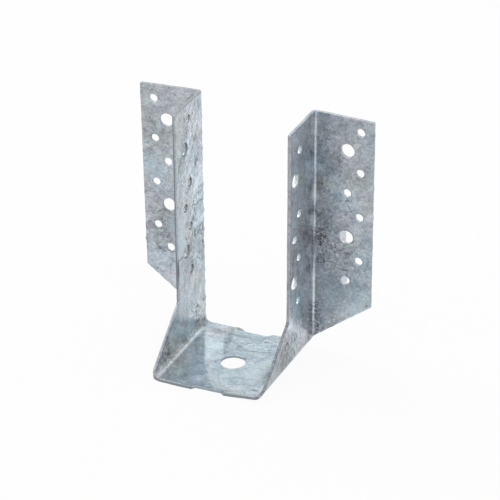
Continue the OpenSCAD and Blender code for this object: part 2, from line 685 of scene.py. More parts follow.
@dataclass(frozen=True)
class Hairline:
    """A dark or bright hairline.

    Attributes:
        face: the face that it is on.
        run: the places that it runs through.
        width: its width.
    """

    face: Canvas
    run: tuple[tuple[float, float], ...]
    width: float

    def reach(self, spots: Spots) -> np.ndarray:
        """Measures the way to the hairline, on its own skin alone.

        Args:
            spots: the places.

        Returns:
            The signed distance of each place in widths, FAR on the other skin.
        """
        places = [self.face.place(spots.blank, place) for place in self.run]
        best = np.full(len(spots), FAR)
        for start, end in zip(places, places[1:]):
            length = float(np.linalg.norm(end - start))
            along = (end - start) / length
            du, dv = spots.across - start[0], spots.back - start[1]
            on = du * along[0] + dv * along[1]
            over = dv * along[0] - du * along[1]
            past = np.maximum(np.maximum(-on, on - length), 0.0)
            gap = np.hypot(over, past) * np.where(over < 0, -1.0, 1.0)
            best = np.where(np.abs(gap) < np.abs(best), gap, best)
        return np.where(spots.skin == self.face.skin, best / self.width, FAR)


@dataclass(frozen=True)
class Coat:
    """The relief of the zinc coat.

    Attributes:
        lumps: its single lumps and dents.
        drips: the drips that swell the sheared edges.
        wave, wave_length: the height and length of the waves of the whole sheet.
        lump, lump_length: those of the lumpy coat.
        grain, grain_length: those of its grain.
        edge_wave, edge_length: those of the waves along a sheared edge.
    """

    lumps: tuple[Blob, ...]
    drips: tuple[Blob, ...]
    wave: float = 0.10
    wave_length: float = 34.0
    lump: float = 0.07
    lump_length: float = 6.0
    grain: float = 0.02
    grain_length: float = 1.9
    edge_wave: float = 0.22
    edge_length: float = 3.4

    @staticmethod
    def sample(spots: Spots, layer: float, length: float) -> np.ndarray:
        """Takes smooth noise from about -1 to 1.

        Args:
            spots: the places.
            layer: a number that sets one field of noise apart from the next.
            length: the length of one swell.

        Returns:
            One value for each place.
        """
        places = zip(spots.across / length, spots.back / length)
        return np.array([noise.noise(Vector((u, v, layer))) for u, v in places])

    def warp(self, spots: Spots) -> np.ndarray:
        """Returns how far the whole sheet waves out of its plane."""
        return self.wave * self.sample(spots, WAVE_LAYER, self.wave_length)

    def relief(self, spots: Spots, skin: Skin) -> np.ndarray:
        """Lays the zinc on one skin.

        Args:
            spots: the places, all on that skin.
            skin: the skin.

        Returns:
            The height of the zinc at each place.
        """
        layer = COAT_LAYER + SKIN_STEP * skin
        height = self.lump * self.sample(spots, layer, self.lump_length)
        height += self.grain * self.sample(spots, layer + GRAIN_STEP, self.grain_length)
        for blob in self.lumps:
            if blob.face.skin is skin:
                height += blob.field(spots)
        return height

    def swell(self, spots: Spots) -> np.ndarray:
        """Swells a sheared edge.

        Args:
            spots: the places along the edge.

        Returns:
            How far the zinc stands out of the edge at each place.
        """
        height = self.edge_wave * self.sample(spots, EDGE_LAYER, self.edge_length)
        for drip in self.drips:
            height += drip.field(spots)
        return height


@dataclass(frozen=True)
class Streaks:
    """The way that the zinc ran off one panel.

    Attributes:
        tilt_deg: the turn of the runs from the across direction towards the back.
        stretch: how many times longer than wide the runs are.
    """

    tilt_deg: float
    stretch: float

    def flow(self, spots: Spots) -> np.ndarray:
        """Turns places into the frame of the runs.

        Args:
            spots: the places.

        Returns:
            For each place, its way along the runs, squeezed by the stretch, and over them.
        """
        tilt = math.radians(self.tilt_deg)
        along = spots.across * math.cos(tilt) + spots.back * math.sin(tilt)
        over = spots.back * math.cos(tilt) - spots.across * math.sin(tilt)
        return np.column_stack((along / self.stretch, over))


@dataclass(frozen=True)
class Marks:
    """The marks on one panel.

    Attributes:
        maps: for each named map, the blobs and patches that fill it.
        cracks: the dark hairlines; the one in the middle of the seat's left fold is painted shade.
        veins: the bright hairlines; the one along the seat's left fold is a painted highlight.
    """

    maps: dict[str, tuple[Blob | Patch, ...]]
    cracks: tuple[Hairline, ...] = ()
    veins: tuple[Hairline, ...] = ()


@dataclass(frozen=True)
class Weathering:
    """Every mark on the coat.

    Attributes:
        panels: the marks of every panel.
        streaks: the runs of each panel.
    """

    panels: tuple[Marks, ...]
    streaks: dict[tuple[Panel, Side], Streaks]

    def fill(self, name: str, spots: Spots) -> np.ndarray:
        """Fills one named map.

        Args:
            name: the name of the map.
            spots: the places.

        Returns:
            The strength of the map at each place.
        """
        values = np.zeros(len(spots))
        for marks in self.panels:
            for mark in marks.maps.get(name, ()):
                values += np.where(spots.skin == mark.face.skin, mark.field(spots), 0.0)
        return values

    def nearest(self, lines: tuple[Hairline, ...], spots: Spots) -> np.ndarray:
        """Finds the nearest hairline.

        Args:
            lines: the hairlines.
            spots: the places.

        Returns:
            The signed distance from each place to it, in widths, held to NEAR.
        """
        best = np.full(len(spots), NEAR)
        for line in lines:
            gap = line.reach(spots)
            best = np.where(np.abs(gap) < np.abs(best), gap, best)
        return np.clip(best, -NEAR, NEAR)

    def cracks(self, spots: Spots) -> np.ndarray:
        """Returns the signed distance to the nearest dark hairline."""
        return self.nearest(tuple(line for marks in self.panels for line in marks.cracks), spots)

    def veins(self, spots: Spots) -> np.ndarray:
        """Returns the signed distance to the nearest bright hairline."""
        return self.nearest(tuple(line for marks in self.panels for line in marks.veins), spots)

    def flow(self, spots: Spots) -> np.ndarray:
        """Turns every place into the frame of the runs of its own panel.

        Args:
            spots: the places.

        Returns:
            One row in metres for each place: along the runs, over them and a layer.
        """
        blank, reach = spots.blank, np.abs(spots.across)
        fold = blank.seat_flat + 0.5 * QUARTER_TURN * blank.seat_mid_r
        corner = 0.5 * (blank.fold_back + blank.flange_start)
        places = np.zeros((len(spots), 3))
        for order, ((panel, side), streaks) in enumerate(self.streaks.items()):
            on_side = spots.across * side > 0
            on_panel = {
                Panel.SEAT: (reach <= fold) & (spots.back <= corner),
                Panel.LEG: (reach > fold) & (spots.back <= corner) & on_side,
                Panel.FLANGE: (spots.back > corner) & on_side,
            }[panel]
            places[on_panel, :2] = streaks.flow(spots)[on_panel]
            places[on_panel, 2] = PANEL_GAP * order + SKIN_GAP * spots.skin[on_panel]
        return places * MM


@dataclass(frozen=True)
class Film:
    """A film of zinc that stayed in a hole when the sheet was lifted from the bath.

    Attributes:
        hole: the hole.
        turn_deg: the way from the centre of the hole to the middle of the film.
        chord: the distance of its straight edge from the centre, as a share of the radius.
        bite: how far its round edge reaches into the metal.
        rim_lifts: the places of its two faces at that edge, from the middle of the sheet.
        lip_lifts: the places of its two faces at its straight edge.
        points: the number of points along an edge.
    """

    hole: Hole
    turn_deg: float
    chord: float
    bite: float = 0.3
    rim_lifts: tuple[float, float] = (-0.87, -0.98)
    lip_lifts: tuple[float, float] = (-0.17, -0.32)
    points: int = 28

    def rails(self) -> list[tuple[np.ndarray, float]]:
        """Works out its shape.

        Returns:
            Its four long edges in order round it, each with its lift.
        """
        half = math.acos(self.chord)
        angles = np.linspace(-half, half, self.points)
        turn = math.radians(self.turn_deg)
        along = np.array((math.cos(turn), math.sin(turn)))
        over = np.array((-along[1], along[0]))
        centre = np.array((self.hole.across, self.hole.back))
        spokes = np.outer(np.cos(angles), along) + np.outer(np.sin(angles), over)
        rim = centre + (self.hole.radius + self.bite) * spokes
        order = np.arange(self.points)
        # Two waves of unlike length, so that the lip looks torn and not cut.
        wave = 0.05 * np.sin(order * 1.9) + 0.03 * np.sin(order * 4.3)
        lip = np.outer(self.chord + wave, along) + np.outer(math.sin(half) * angles / half, over)
        lip = centre + lip * self.hole.radius
        return [
            (rim, self.rim_lifts[0]),
            (lip, self.lip_lifts[0]),
            (lip, self.lip_lifts[1]),
            (rim, self.rim_lifts[1]),
        ]


class Shell:
    """The points and faces of a mesh while it grows.

    Each point has a row: across, back, lift, skin, edge, ash and shine; ash also holds painted shade, and
    shine is a painted highlight.
    """

    def __init__(self) -> None:
        """Starts empty."""
        self.groups: list[np.ndarray] = []
        self.faces: list[tuple[int, ...]] = []
        self.total = 0

    def add(self, places: np.ndarray, *columns: "float | np.ndarray") -> list[int]:
        """Adds a group of points.

        Args:
            places: one (across, back) row for each point.
            columns: the other columns of their rows, each a number or one value a point.

        Returns:
            The numbers of the points.
        """
        count = len(places)
        spread = [np.broadcast_to(column, count) for column in columns]
        self.groups.append(np.column_stack([places, *spread]))
        self.total += count
        return list(range(self.total - count, self.total))

    def band(self, first: list[int], second: list[int], closed: bool) -> None:
        """Adds a band of faces between two runs of points.

        Args:
            first: the numbers of the points of one run.
            second: those of the other.
            closed: whether the runs close on themselves.
        """
        count = len(first)
        for i in range(count if closed else count - 1):
            j = (i + 1) % count
            self.faces.append((second[i], second[j], first[j], first[i]))


@dataclass
class SheetMesh:
    """The folded sheet as one closed mesh.

    Attributes:
        blank: the blank that it is made from.
        coat: the relief of its zinc.
        marks: every mark on its coat.
        films: the films of zinc in its holes.
        spacing: the distance between the points of its lattice.
        fold_spacing: the distance between the rows of that lattice in the flange folds.
        edge_r: the radius on its sheared edges.
        edge_turns_deg: the places round that radius that get points of their own.
        rim_share: the spacing along the outline, as a share of that of the lattice.
        hole_spacing: the spacing round a hole.
        clearance: how clear of an edge the lattice stays, as a share of its spacing.
        hole_share: a triangle whose middle is closer to a hole than this share of edge_r is waste.
        top_band: how far below the top of the legs an edge counts as a top edge.
        left_top: how much darker the top edges of the left side are.
        right_top: how much darker the top edges of the right side are.
    """

    blank: Blank
    coat: Coat
    marks: Weathering
    films: tuple[Film, ...] = ()
    spacing: float = 1.05
    fold_spacing: float = 0.5
    edge_r: float = 0.35
    edge_turns_deg: tuple[float, ...] = (45.0, 90.0)
    rim_share: float = 0.8
    hole_spacing: float = 0.7
    clearance: float = 0.55
    hole_share: float = 0.98
    top_band: float = 0.95
    left_top: float = 1.3
    right_top: float = 0.3

    def rows(self, low: float, high: float) -> list[float]:
        """Spaces the rows of the lattice.

        Args:
            low: the lowest station of the blank.
            high: its highest station.

        Returns:
            The station of each row, closer together in the flange folds.
        """
        blank, stations = self.blank, [low]
        while stations[-1] < high:
            back = stations[-1]
            in_fold = blank.fold_back - self.fold_spacing < back < blank.flange_start + self.fold_spacing
            step = self.fold_spacing if in_fold else self.spacing * math.sqrt(3.0) / 2.0
            stations.append(back + step)
        return stations[1:]

    def inside(self, points: np.ndarray, outline: np.ndarray) -> np.ndarray:
        """Tells the metal from the waste.

        Args:
            points: one (across, back) row for each point.
            outline: the points of the outline.

        Returns:
            Whether each point lies inside the outline and clear of the holes.
        """
        inside = np.zeros(len(points), bool)
        for start, end in zip(outline, np.roll(outline, -1, axis=0)):
            if start[1] == end[1]:
                continue
            crosses = (start[1] > points[:, 1]) != (end[1] > points[:, 1])
            slope = (end[0] - start[0]) / (end[1] - start[1])
            inside ^= crosses & (points[:, 0] < start[0] + (points[:, 1] - start[1]) * slope)
        for hole in self.blank.holes():
            inside &= hole.gap(points) > self.edge_r
        return inside

    def lattice(self, loops: list[Loop]) -> np.ndarray:
        """Fills the blank with an even triangular lattice of points.

        Args:
            loops: its edges, with the outline first.

        Returns:
            One (across, back) row for each point that lies well inside the metal.
        """
        outline = loops[0].points
        low, high = outline.min(0), outline.max(0)
        row = np.arange(low[0], high[0], self.spacing)
        points = np.vstack([
            np.column_stack((row + (index % 2) * self.spacing / 2.0, np.full(len(row), back)))
            for index, back in enumerate(self.rows(low[1], high[1]))
        ])
        points = points[self.inside(points, outline)]
        rims = np.vstack([loop.inset(self.edge_r) for loop in loops])
        tree = kdtree.KDTree(len(rims))
        for index, rim in enumerate(rims):
            tree.insert((rim[0], rim[1], 0.0), index)
        tree.balance()
        room = self.clearance * self.spacing
        clear = [tree.find((u, v, 0.0))[2] > room for u, v in points]
        return points[np.array(clear)]

    def roughen(self, loop: Loop) -> None:
        """Makes an edge wavy, and swells it where the zinc dripped."""
        spots = Spots(self.blank, loop.points[:, 0], loop.points[:, 1], np.zeros(len(loop.points)))
        loop.points = loop.points + loop.normals * self.coat.swell(spots)[:, None]

    def edges(self) -> list[Loop]:
        """Walks round every edge of the blank.

        Returns:
            The outline and then the rims of the holes, with their waves and drips.
        """
        outer = trace(self.blank.outline(), self.rim_share * self.spacing)
        loops = [outer] + [ring(hole, self.hole_spacing) for hole in self.blank.holes()]
        for loop in loops:
            self.roughen(loop)
        return loops

    def flat(self, loops: list[Loop]) -> tuple[np.ndarray, list[tuple[int, ...]], list[list[int]]]:
        """Cuts the flat face of the blank into triangles.

        Args:
            loops: its edges, with the outline first.

        Returns:
            The (across, back) rows of its points, its triangles, and for each edge the
            numbers of the points along it.
        """
        points = np.vstack([loop.inset(self.edge_r) for loop in loops] + [self.lattice(loops)])
        runs, start = [], 0
        for loop in loops:
            runs.append(list(range(start, start + len(loop.points))))
            start += len(loop.points)
        edges = [pair for run in runs for pair in zip(run, run[1:] + run[:1])]
        cut = geometry.delaunay_2d_cdt([Vector(p) for p in points], edges, [], 1, 1e-7)
        points = np.array([(p[0], p[1]) for p in cut[0]])
        source = {first[0]: index for index, first in enumerate(cut[3]) if first}
        faces = np.array(cut[2])
        middles = points[faces].mean(1)
        metal = np.ones(len(faces), bool)
        for hole in self.blank.holes():
            metal &= hole.gap(middles) > self.hole_share * self.edge_r
        triangles = [tuple(face) for face in faces[metal].tolist()]
        return points, triangles, [[source[index] for index in run] for run in runs]

    def wrap(self, shell: Shell, loop: Loop, upper: list[int], lower: list[int]) -> None:
        """Closes the sheet round one edge, with its two radii.

        Args:
            shell: the mesh so far.
            loop: the edge.
            upper: the numbers of its points on the inner skin.
            lower: their numbers on the outer skin.
        """
        half, edge_r, hole = self.blank.thickness / 2.0, self.edge_r, loop.hole
        turns = [math.radians(turn) for turn in self.edge_turns_deg]
        steps = [(turn, Skin.INNER) for turn in turns] + [(turn, Skin.OUTER) for turn in reversed(turns)]
        top_station = self.blank.up_leg(self.blank.height) - self.top_band
        rings = [upper]
        for turn, skin in steps:
            places = loop.points + loop.normals * edge_r * (math.sin(turn) - 1.0)
            lift = skin * (half - edge_r * (1.0 - math.cos(turn)))
            edge, ash_and_shade, painted_highlight = 0.0, 0.0, 0.0
            # At a hole the wall gets painted shade, weaker at the punch entry, where the burnish adds a
            # painted highlight.
            if hole is None:
                at_top = np.abs(places[:, 0]) > top_station
                edge = 1.0 + at_top * np.where(places[:, 0] < 0.0, self.left_top, self.right_top)
            elif hole.entry is skin:
                ash_and_shade, painted_highlight = 0.4 * hole.bore_shade, hole.burnish_highlight
            else:
                ash_and_shade = hole.bore_shade
            rings.append(shell.add(places, lift, skin, edge, ash_and_shade, painted_highlight))
        rings.append(lower)
        for first, second in zip(rings, rings[1:]):
            shell.band(first, second, closed=True)

    def hang(self, shell: Shell, film: Film) -> None:
        """Hangs a film of zinc in its hole.

        Args:
            shell: the mesh so far.
            film: the film.
        """
        # Every point of the film gets a shine of 2, so the film is painted bright all over, as a highlight.
        runs = [
            shell.add(places, lift, Skin.OUTER, 0.0, 0.0, 2.0) for places, lift in film.rails()
        ]
        for first, second in zip(runs, runs[1:] + runs[:1]):
            shell.band(second, first, closed=False)
        shell.faces.append(tuple(run[0] for run in runs))
        shell.faces.append(tuple(run[-1] for run in reversed(runs)))

    def build(self, name: str) -> bpy.types.Object:
        """Makes the mesh object.

        Args:
            name: the name of the object.

        Returns:
            The object, in metres and in the frame of the CAD node.
        """
        loops = self.edges()
        points, triangles, runs = self.flat(loops)
        half, count = self.blank.thickness / 2.0, len(points)
        rim = np.zeros(count)
        rim[runs[0]] = 0.5
        shell = Shell()
        shell.add(points, half, Skin.INNER, rim, 0.0, 0.0)
        shell.add(points, -half, Skin.OUTER, rim, 0.0, 0.0)
        shell.faces += triangles + [(c + count, b + count, a + count) for a, b, c in triangles]
        for loop, upper in zip(loops, runs):
            self.wrap(shell, loop, upper, [index + count for index in upper])
        sheet_faces = len(shell.faces)
        for film in self.films:
            self.hang(shell, film)
        across, back, lift, skin, edge, ash_and_shade, painted_highlight = np.vstack(shell.groups).T
        spots = Spots(self.blank, across, back, skin)
        mesh = bpy.data.meshes.new(name)
        mesh.from_pydata(self.places(spots, lift).tolist(), [], shell.faces)
        mesh.validate()
        smooth = [index < sheet_faces for index in range(len(mesh.polygons))]
        mesh.polygons.foreach_set("use_smooth", smooth)
        self.store(mesh, "edge", edge)
        extra = {"ash_and_shade": ash_and_shade, "painted_highlight": painted_highlight}
        for label in MAPS:
            self.store(mesh, label, self.marks.fill(label, spots) + extra.get(label, 0.0))
        self.store(mesh, "crack", self.marks.cracks(spots))
        self.store(mesh, "vein", self.marks.veins(spots))
        flow = mesh.attributes.new("flow", "FLOAT_VECTOR", "POINT")
        flow.data.foreach_set("vector", self.marks.flow(spots).astype(np.float32).ravel())
        piece = bpy.data.objects.new(name, mesh)
        bpy.context.scene.collection.objects.link(piece)
        return piece

    def places(self, spots: Spots, lift: np.ndarray) -> np.ndarray:
        """Coats the sheet and folds it up.

        Args:
            spots: the places of its points on the blank.
            lift: their distances from the middle of the sheet.

        Returns:
            One (x, y, z) row in metres for each point, held to the box of the CAD node.
        """
        lift = lift + self.coat.warp(spots)
        for skin in Skin:
            here = spots.skin == skin
            part = Spots(self.blank, spots.across[here], spots.back[here], spots.skin[here])
            lift[here] += skin * self.coat.relief(part, skin)
        low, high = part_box(NODE)
        folded = self.blank.fold(spots.across, spots.back, lift) * MM
        return np.clip(folded, np.array(low), np.array(high))

    @staticmethod
    def store(mesh: bpy.types.Mesh, name: str, values: np.ndarray) -> None:
        """Keeps one number for each vertex of a mesh, for the material to read."""
        layer = mesh.attributes.new(name, "FLOAT", "POINT")
        layer.data.foreach_set("value", values.astype(np.float32))


class Term:
    """A value, colour or vector of a shader, which Python expressions can use."""

    def __init__(self, maker: "NodeMaker", socket: bpy.types.NodeSocket) -> None:
        """Keeps the maker of its tree and the output socket."""
        self.maker = maker
        self.socket = socket

    def math(self, operation: str, first: "Term | float", second: "Term | float") -> "Term":
        """Returns the result of a Math node."""
        inputs = {0: first, 1: second}
        return self.maker.make("ShaderNodeMath", {"operation": operation}, inputs)

    def __add__(self, other: "Term | float") -> "Term":
        """Returns the sum."""
        return self.math("ADD", self, other)

    def __radd__(self, other: float) -> "Term":
        """Returns the sum, from a number on the left."""
        return self.math("ADD", other, self)

    def __sub__(self, other: "Term | float") -> "Term":
        """Returns the difference."""
        return self.math("SUBTRACT", self, other)

    def __rsub__(self, other: float) -> "Term":
        """Returns the difference, from a number on the left."""
        return self.math("SUBTRACT", other, self)

    def __mul__(self, other: "Term | float") -> "Term":
        """Returns the product."""
        return self.math("MULTIPLY", self, other)

    def __rmul__(self, other: float) -> "Term":
        """Returns the product, from a number on the left."""
        return self.math("MULTIPLY", other, self)

    def size(self) -> "Term":
        """Returns the value without its sign."""
        return self.math("ABSOLUTE", self, 0.0)

    def rise(self, low: float, high: float) -> "Term":
        """Returns 0 below low, 1 above high and a smooth rise between them."""
        settings = {"interpolation_type": "SMOOTHSTEP"}
        inputs = {"Value": self, "From Min": low, "From Max": high}
        return self.maker.make("ShaderNodeMapRange", settings, inputs)

    def limit(self, low: float, high: float) -> "Term":
        """Returns the value held between two limits."""
        return self.math("MAXIMUM", self.math("MINIMUM", self, high), low)

    def lighten(self, factor: "Term | float") -> "Term":
        """Returns a colour with each channel multiplied by one value."""
        settings = {"operation": "SCALE"}
        return self.maker.make("ShaderNodeVectorMath", settings, {0: self, "Scale": factor})


class NodeMaker:
    """Makes the nodes of one shader tree."""

    def __init__(self, tree: bpy.types.NodeTree) -> None:
        """Empties the tree."""
        self.tree = tree
        tree.nodes.clear()

    def make(self, kind: str, settings: dict, inputs: dict, output: str | int = 0) -> Term:
        """Makes a node.

        Args:
            kind: the type of the node.
            settings: its properties, set first.
            inputs: for each input, by name or number, a value or the Term that feeds it.
            output: the output that is returned.

        Returns:
            The chosen output.
        """
        node = self.tree.nodes.new(kind)
        for name, value in settings.items():
            setattr(node, name, value)
        for name, value in inputs.items():
            if isinstance(value, Term):
                self.tree.links.new(value.socket, node.inputs[name])
            else:
                node.inputs[name].default_value = value
        return Term(self, node.outputs[output]) if node.outputs else Term(self, node.inputs[0])

    def noise(
        self, place: Term, scale: float, detail: float, rough: float = 0.55, warp: float = 0.0
    ) -> Term:
        """Makes noise.

        Args:
            place: where it is read.
            scale: its swells in a metre.
            detail: the number of its finer octaves.
            rough: how strong those are.
            warp: how far it is distorted.

        Returns:
            Values around 0 that seldom leave -1 to 1.
        """
        settings = {"Scale": scale, "Detail": detail, "Roughness": rough, "Distortion": warp}
        raw = self.make("ShaderNodeTexNoise", {}, {"Vector": place, **settings})
        return raw * 4.5 - 2.25

    def blend(self, first: Term | tuple, second: Term | tuple, mask: Term) -> Term:
        """Returns a mix of two colours."""
        settings = {"data_type": "RGBA", "clamp_factor": True}
        return self.make("ShaderNodeMix", settings, {0: mask, 6: first, 7: second}, 2)

    def map(self, name: str) -> Term:
        """Returns a number kept on the vertices of the mesh."""
        return self.make("ShaderNodeAttribute", {"attribute_name": name}, {}, "Fac")

    def rays(self, *kinds: str) -> Term:
        """Returns 1 for rays of any of the named kinds and 0 for the others."""
        path = [self.make("ShaderNodeLightPath", {}, {}, f"Is {kind} Ray") for kind in kinds]
        return sum(path[1:], path[0]).limit(0.0, 1.0)


class Grit:
    """The fine texture of the zinc: its noise, and the hairlines and specks made from it."""

    def __init__(self, maker: NodeMaker) -> None:
        """Makes the noise and what the maps of the mesh make of it.

        Args:
            maker: the maker of the material's tree.
        """
        self.maker = maker
        self.place = maker.make("ShaderNodeTexCoord", {}, {}, "Object")
        flow = maker.make("ShaderNodeAttribute", {"attribute_name": "flow"}, {}, "Vector")
        self.cloud = maker.noise(self.place, 75.0, 4.0, 0.6)
        self.patch = maker.noise(self.place, 26.0, 2.0, 0.5)
        self.curd = maker.noise(self.place, 260.0, 5.0, 0.6, 1.2)
        self.grain = maker.noise(self.place, 760.0, 3.0, 0.6)
        fleck = maker.noise(self.place, 540.0, 2.0, 0.5, 0.4)
        self.ridge = maker.noise(self.place, 330.0, 2.5, 0.55, 1.6)
        self.runs = maker.noise(flow, 360.0, 4.0, 0.62, 1.3)
        self.wide_runs = maker.noise(flow, 150.0, 3.0, 0.55, 0.9)
        cloud, curd, grain = self.cloud, self.curd, self.grain
        speck = maker.map("speck").limit(0.0, 1.5)
        self.scarred = (maker.map("worm") + cloud * 0.15).limit(0.0, 1.0)
        self.worm = (1.0 - self.ridge.size().rise(0.05, 0.38)) * self.scarred
        # Painted glints: bright flecks among the specks.
        self.glint = (fleck * -1.0 + curd * 0.3).rise(0.1, 0.5) * speck
        self.spot = (fleck + curd * 0.4 + grain * 0.3).rise(0.15, 0.45) * speck
        near_crack = (maker.map("crack") + curd * 0.5).size() + grain * 0.3
        near_vein = (maker.map("vein") + curd * 1.1).size() + grain * 0.35
        broken = (cloud * 0.5 + curd * 0.5 + 0.75).limit(0.1, 1.0)
        self.crack = (1.0 - near_crack.rise(0.25, 0.9)) * broken
        self.vein = 1.0 - near_vein.rise(0.2, 0.9)

    def dark(self) -> Term:
        """Adds up the hairlines, scratches, pits, specks and furrows.

        Returns:
            How dark they make a place, from 0 to 0.85.
        """
        wild = self.maker.map("wild")
        pit = (self.curd * 0.5 + self.grain * 0.6 + wild * 0.35).rise(0.80, 1.15)
        scratch = (self.runs * -1.0).rise(0.55, 0.95) * (wild * 1.2).limit(0.0, 1.0)
        scratch = scratch * self.wide_runs.rise(-0.2, 0.5)
        furrow = (self.ridge - 0.3).rise(0.1, 0.5) * self.scarred
        total = self.crack * 0.85 + scratch * 0.5 + pit * 0.5 + self.spot * 0.75 + furrow * 0.4
        return total.limit(0.0, 0.85)

    def bump(self) -> Term:
        """Raises the texture.

        Returns:
            The normal of the surface, smoother where the coat is glossy.
        """
        height = self.curd * 0.35 + self.grain * 0.1 + self.runs * (self.maker.map("wild") * 0.4 + 0.1)
        height = height - self.crack * 0.8 - self.spot * 0.6 + self.worm * 0.3
        height = height * (1.0 - self.maker.map("gloss") * 6.0)
        inputs = {"Strength": 0.5, "Distance": 0.00022, "Height": height}
        return self.maker.make("ShaderNodeBump", {}, inputs)


@dataclass(frozen=True)
class GalvanisedZinc:
    """Hot-dip galvanised steel: pale blue-grey zinc, cloudy, streaked and stained, with some highlights and
    shade painted into its colour.

    Attributes:
        zinc: the clean colour of the coat.
        blue: the colour of its bluer patches.
        moss: the colour of its greener patches.
        bright: the colour of bright runs, veins and painted glints, and of the painted highlights on the
            folds, the punched hole walls and the zinc films.
        ash_and_shade: the colour of dull, ashy patches, and of the painted shade in the hole bores, on the
            right flange's fold and along the seat's front edge.
        rust: the colour of brown stains.
        crack: the colour of dark hairlines and pits.
        edge: the colour of the sheared edges.
        roughness: the roughness of clean zinc.
    """

    zinc: tuple[float, float, float, float] = (0.535, 0.555, 0.605, 1.0)
    blue: tuple[float, float, float, float] = (0.44, 0.54, 0.605, 1.0)
    moss: tuple[float, float, float, float] = (0.46, 0.515, 0.50, 1.0)
    bright: tuple[float, float, float, float] = (0.80, 0.85, 0.90, 1.0)
    ash_and_shade: tuple[float, float, float, float] = (0.20, 0.22, 0.235, 1.0)
    rust: tuple[float, float, float, float] = (0.17, 0.135, 0.125, 1.0)
    crack: tuple[float, float, float, float] = (0.10, 0.115, 0.12, 1.0)
    edge: tuple[float, float, float, float] = (0.29, 0.30, 0.315, 1.0)
    roughness: float = 0.24

    def build(self, name: str) -> bpy.types.Material:
        """Makes the material.

        Args:
            name: its name.

        Returns:
            The material.
        """
        material = bpy.data.materials.new(name)
        material.use_nodes = True
        maker = NodeMaker(material.node_tree)
        grit = Grit(maker)
        colour = self.coat(maker, grit)
        painted_highlight_level, curd, runs = maker.map("painted_highlight"), grit.curd, grit.runs
        # Painted highlight: the shine map, with a little noise, blends the colour towards the bright
        # colour, and past 1.5 blends it further, for the films.
        painted_highlight = (painted_highlight_level + runs * 0.22 + curd * 0.15).rise(0.3, 0.8) * 0.55
        painted_highlight = painted_highlight + (painted_highlight_level - 1.5).limit(0.0, 0.5) * 0.8
        colour = maker.blend(colour, self.bright, painted_highlight)
        # Dull ash together with painted shade: this map also darkens the hole bores, the right flange's
        # fold and the seat's front edge.
        dull = (maker.map("ash_and_shade") + curd * 0.2 + grit.cloud * 0.12 + runs * 0.15).rise(0.3, 0.85)
        colour = maker.blend(colour, self.ash_and_shade, dull * 0.7)
        stain = (maker.map("rust") + curd * 0.28 + grit.cloud * 0.15 + runs * 0.12).rise(0.25, 0.95)
        colour = maker.blend(colour, self.rust, stain * 0.65)
        # Bright hairlines, worm veins and painted glints; the hairline on the seat's left fold is a painted
        # highlight.
        light = (grit.vein * 0.45 + grit.worm * 0.5 + grit.glint * 0.45).limit(0.0, 0.8)
        colour = maker.blend(colour, self.bright, light)
        colour = maker.blend(colour, self.crack, grit.dark())
        rim = maker.map("edge").rise(0.35, 1.0)
        sheared = rim * 0.3 + maker.map("edge").rise(1.1, 2.3) * 0.55
        colour = maker.blend(colour, self.edge, sheared)
        rough = grit.cloud * 0.05 + grit.grain * 0.03 - maker.map("gloss") + self.roughness
        rough = rough + dull * 0.22 + stain * 0.2 + rim * 0.2
        inputs = {
            "Base Color": colour,
            "Metallic": 1.0,
            "Roughness": rough.limit(0.08, 0.9),
            "Normal": grit.bump(),
        }
        shader = maker.make("ShaderNodeBsdfPrincipled", {}, inputs)
        maker.make("ShaderNodeOutputMaterial", {}, {"Surface": shader})
        return material

    def coat(self, maker: NodeMaker, grit: Grit) -> Term:
        """Colours the clean coat.

        Args:
            maker: the maker of the material's tree.
            grit: its fine texture.

        Returns:
            The colour with its clouds, runs and tints, and its toning, which holds some painted light and
            shade, before any painted highlight, dull ashy patch, painted shade, rust or hairline.
        """
        wild, cloud = maker.map("wild"), grit.cloud
        mottle = cloud * 0.20 + grit.patch * 0.10 + grit.curd * 0.28 + grit.grain * 0.19
        tone_and_painted_light = mottle * (wild * 0.9 + 0.9)
        tone_and_painted_light = tone_and_painted_light + grit.runs * (wild * 0.30 + 0.12) + grit.wide_runs * (wild * 0.20 + 0.06)
        tone_and_painted_light = tone_and_painted_light + maker.map("tone_and_painted_light") - grit.scarred * 0.2 + 1.0
        blue = maker.noise(grit.place, 48.0, 3.0, 0.5) * 0.7 + maker.map("blue") + 0.25
        moss = maker.noise(grit.place, 63.0, 3.0, 0.6) * 0.5 + maker.map("moss")
        zinc = maker.blend(self.zinc, self.blue, blue.limit(0.0, 1.0))
        return maker.blend(zinc, self.moss, moss.limit(0.0, 1.0)).lighten(tone_and_painted_light)


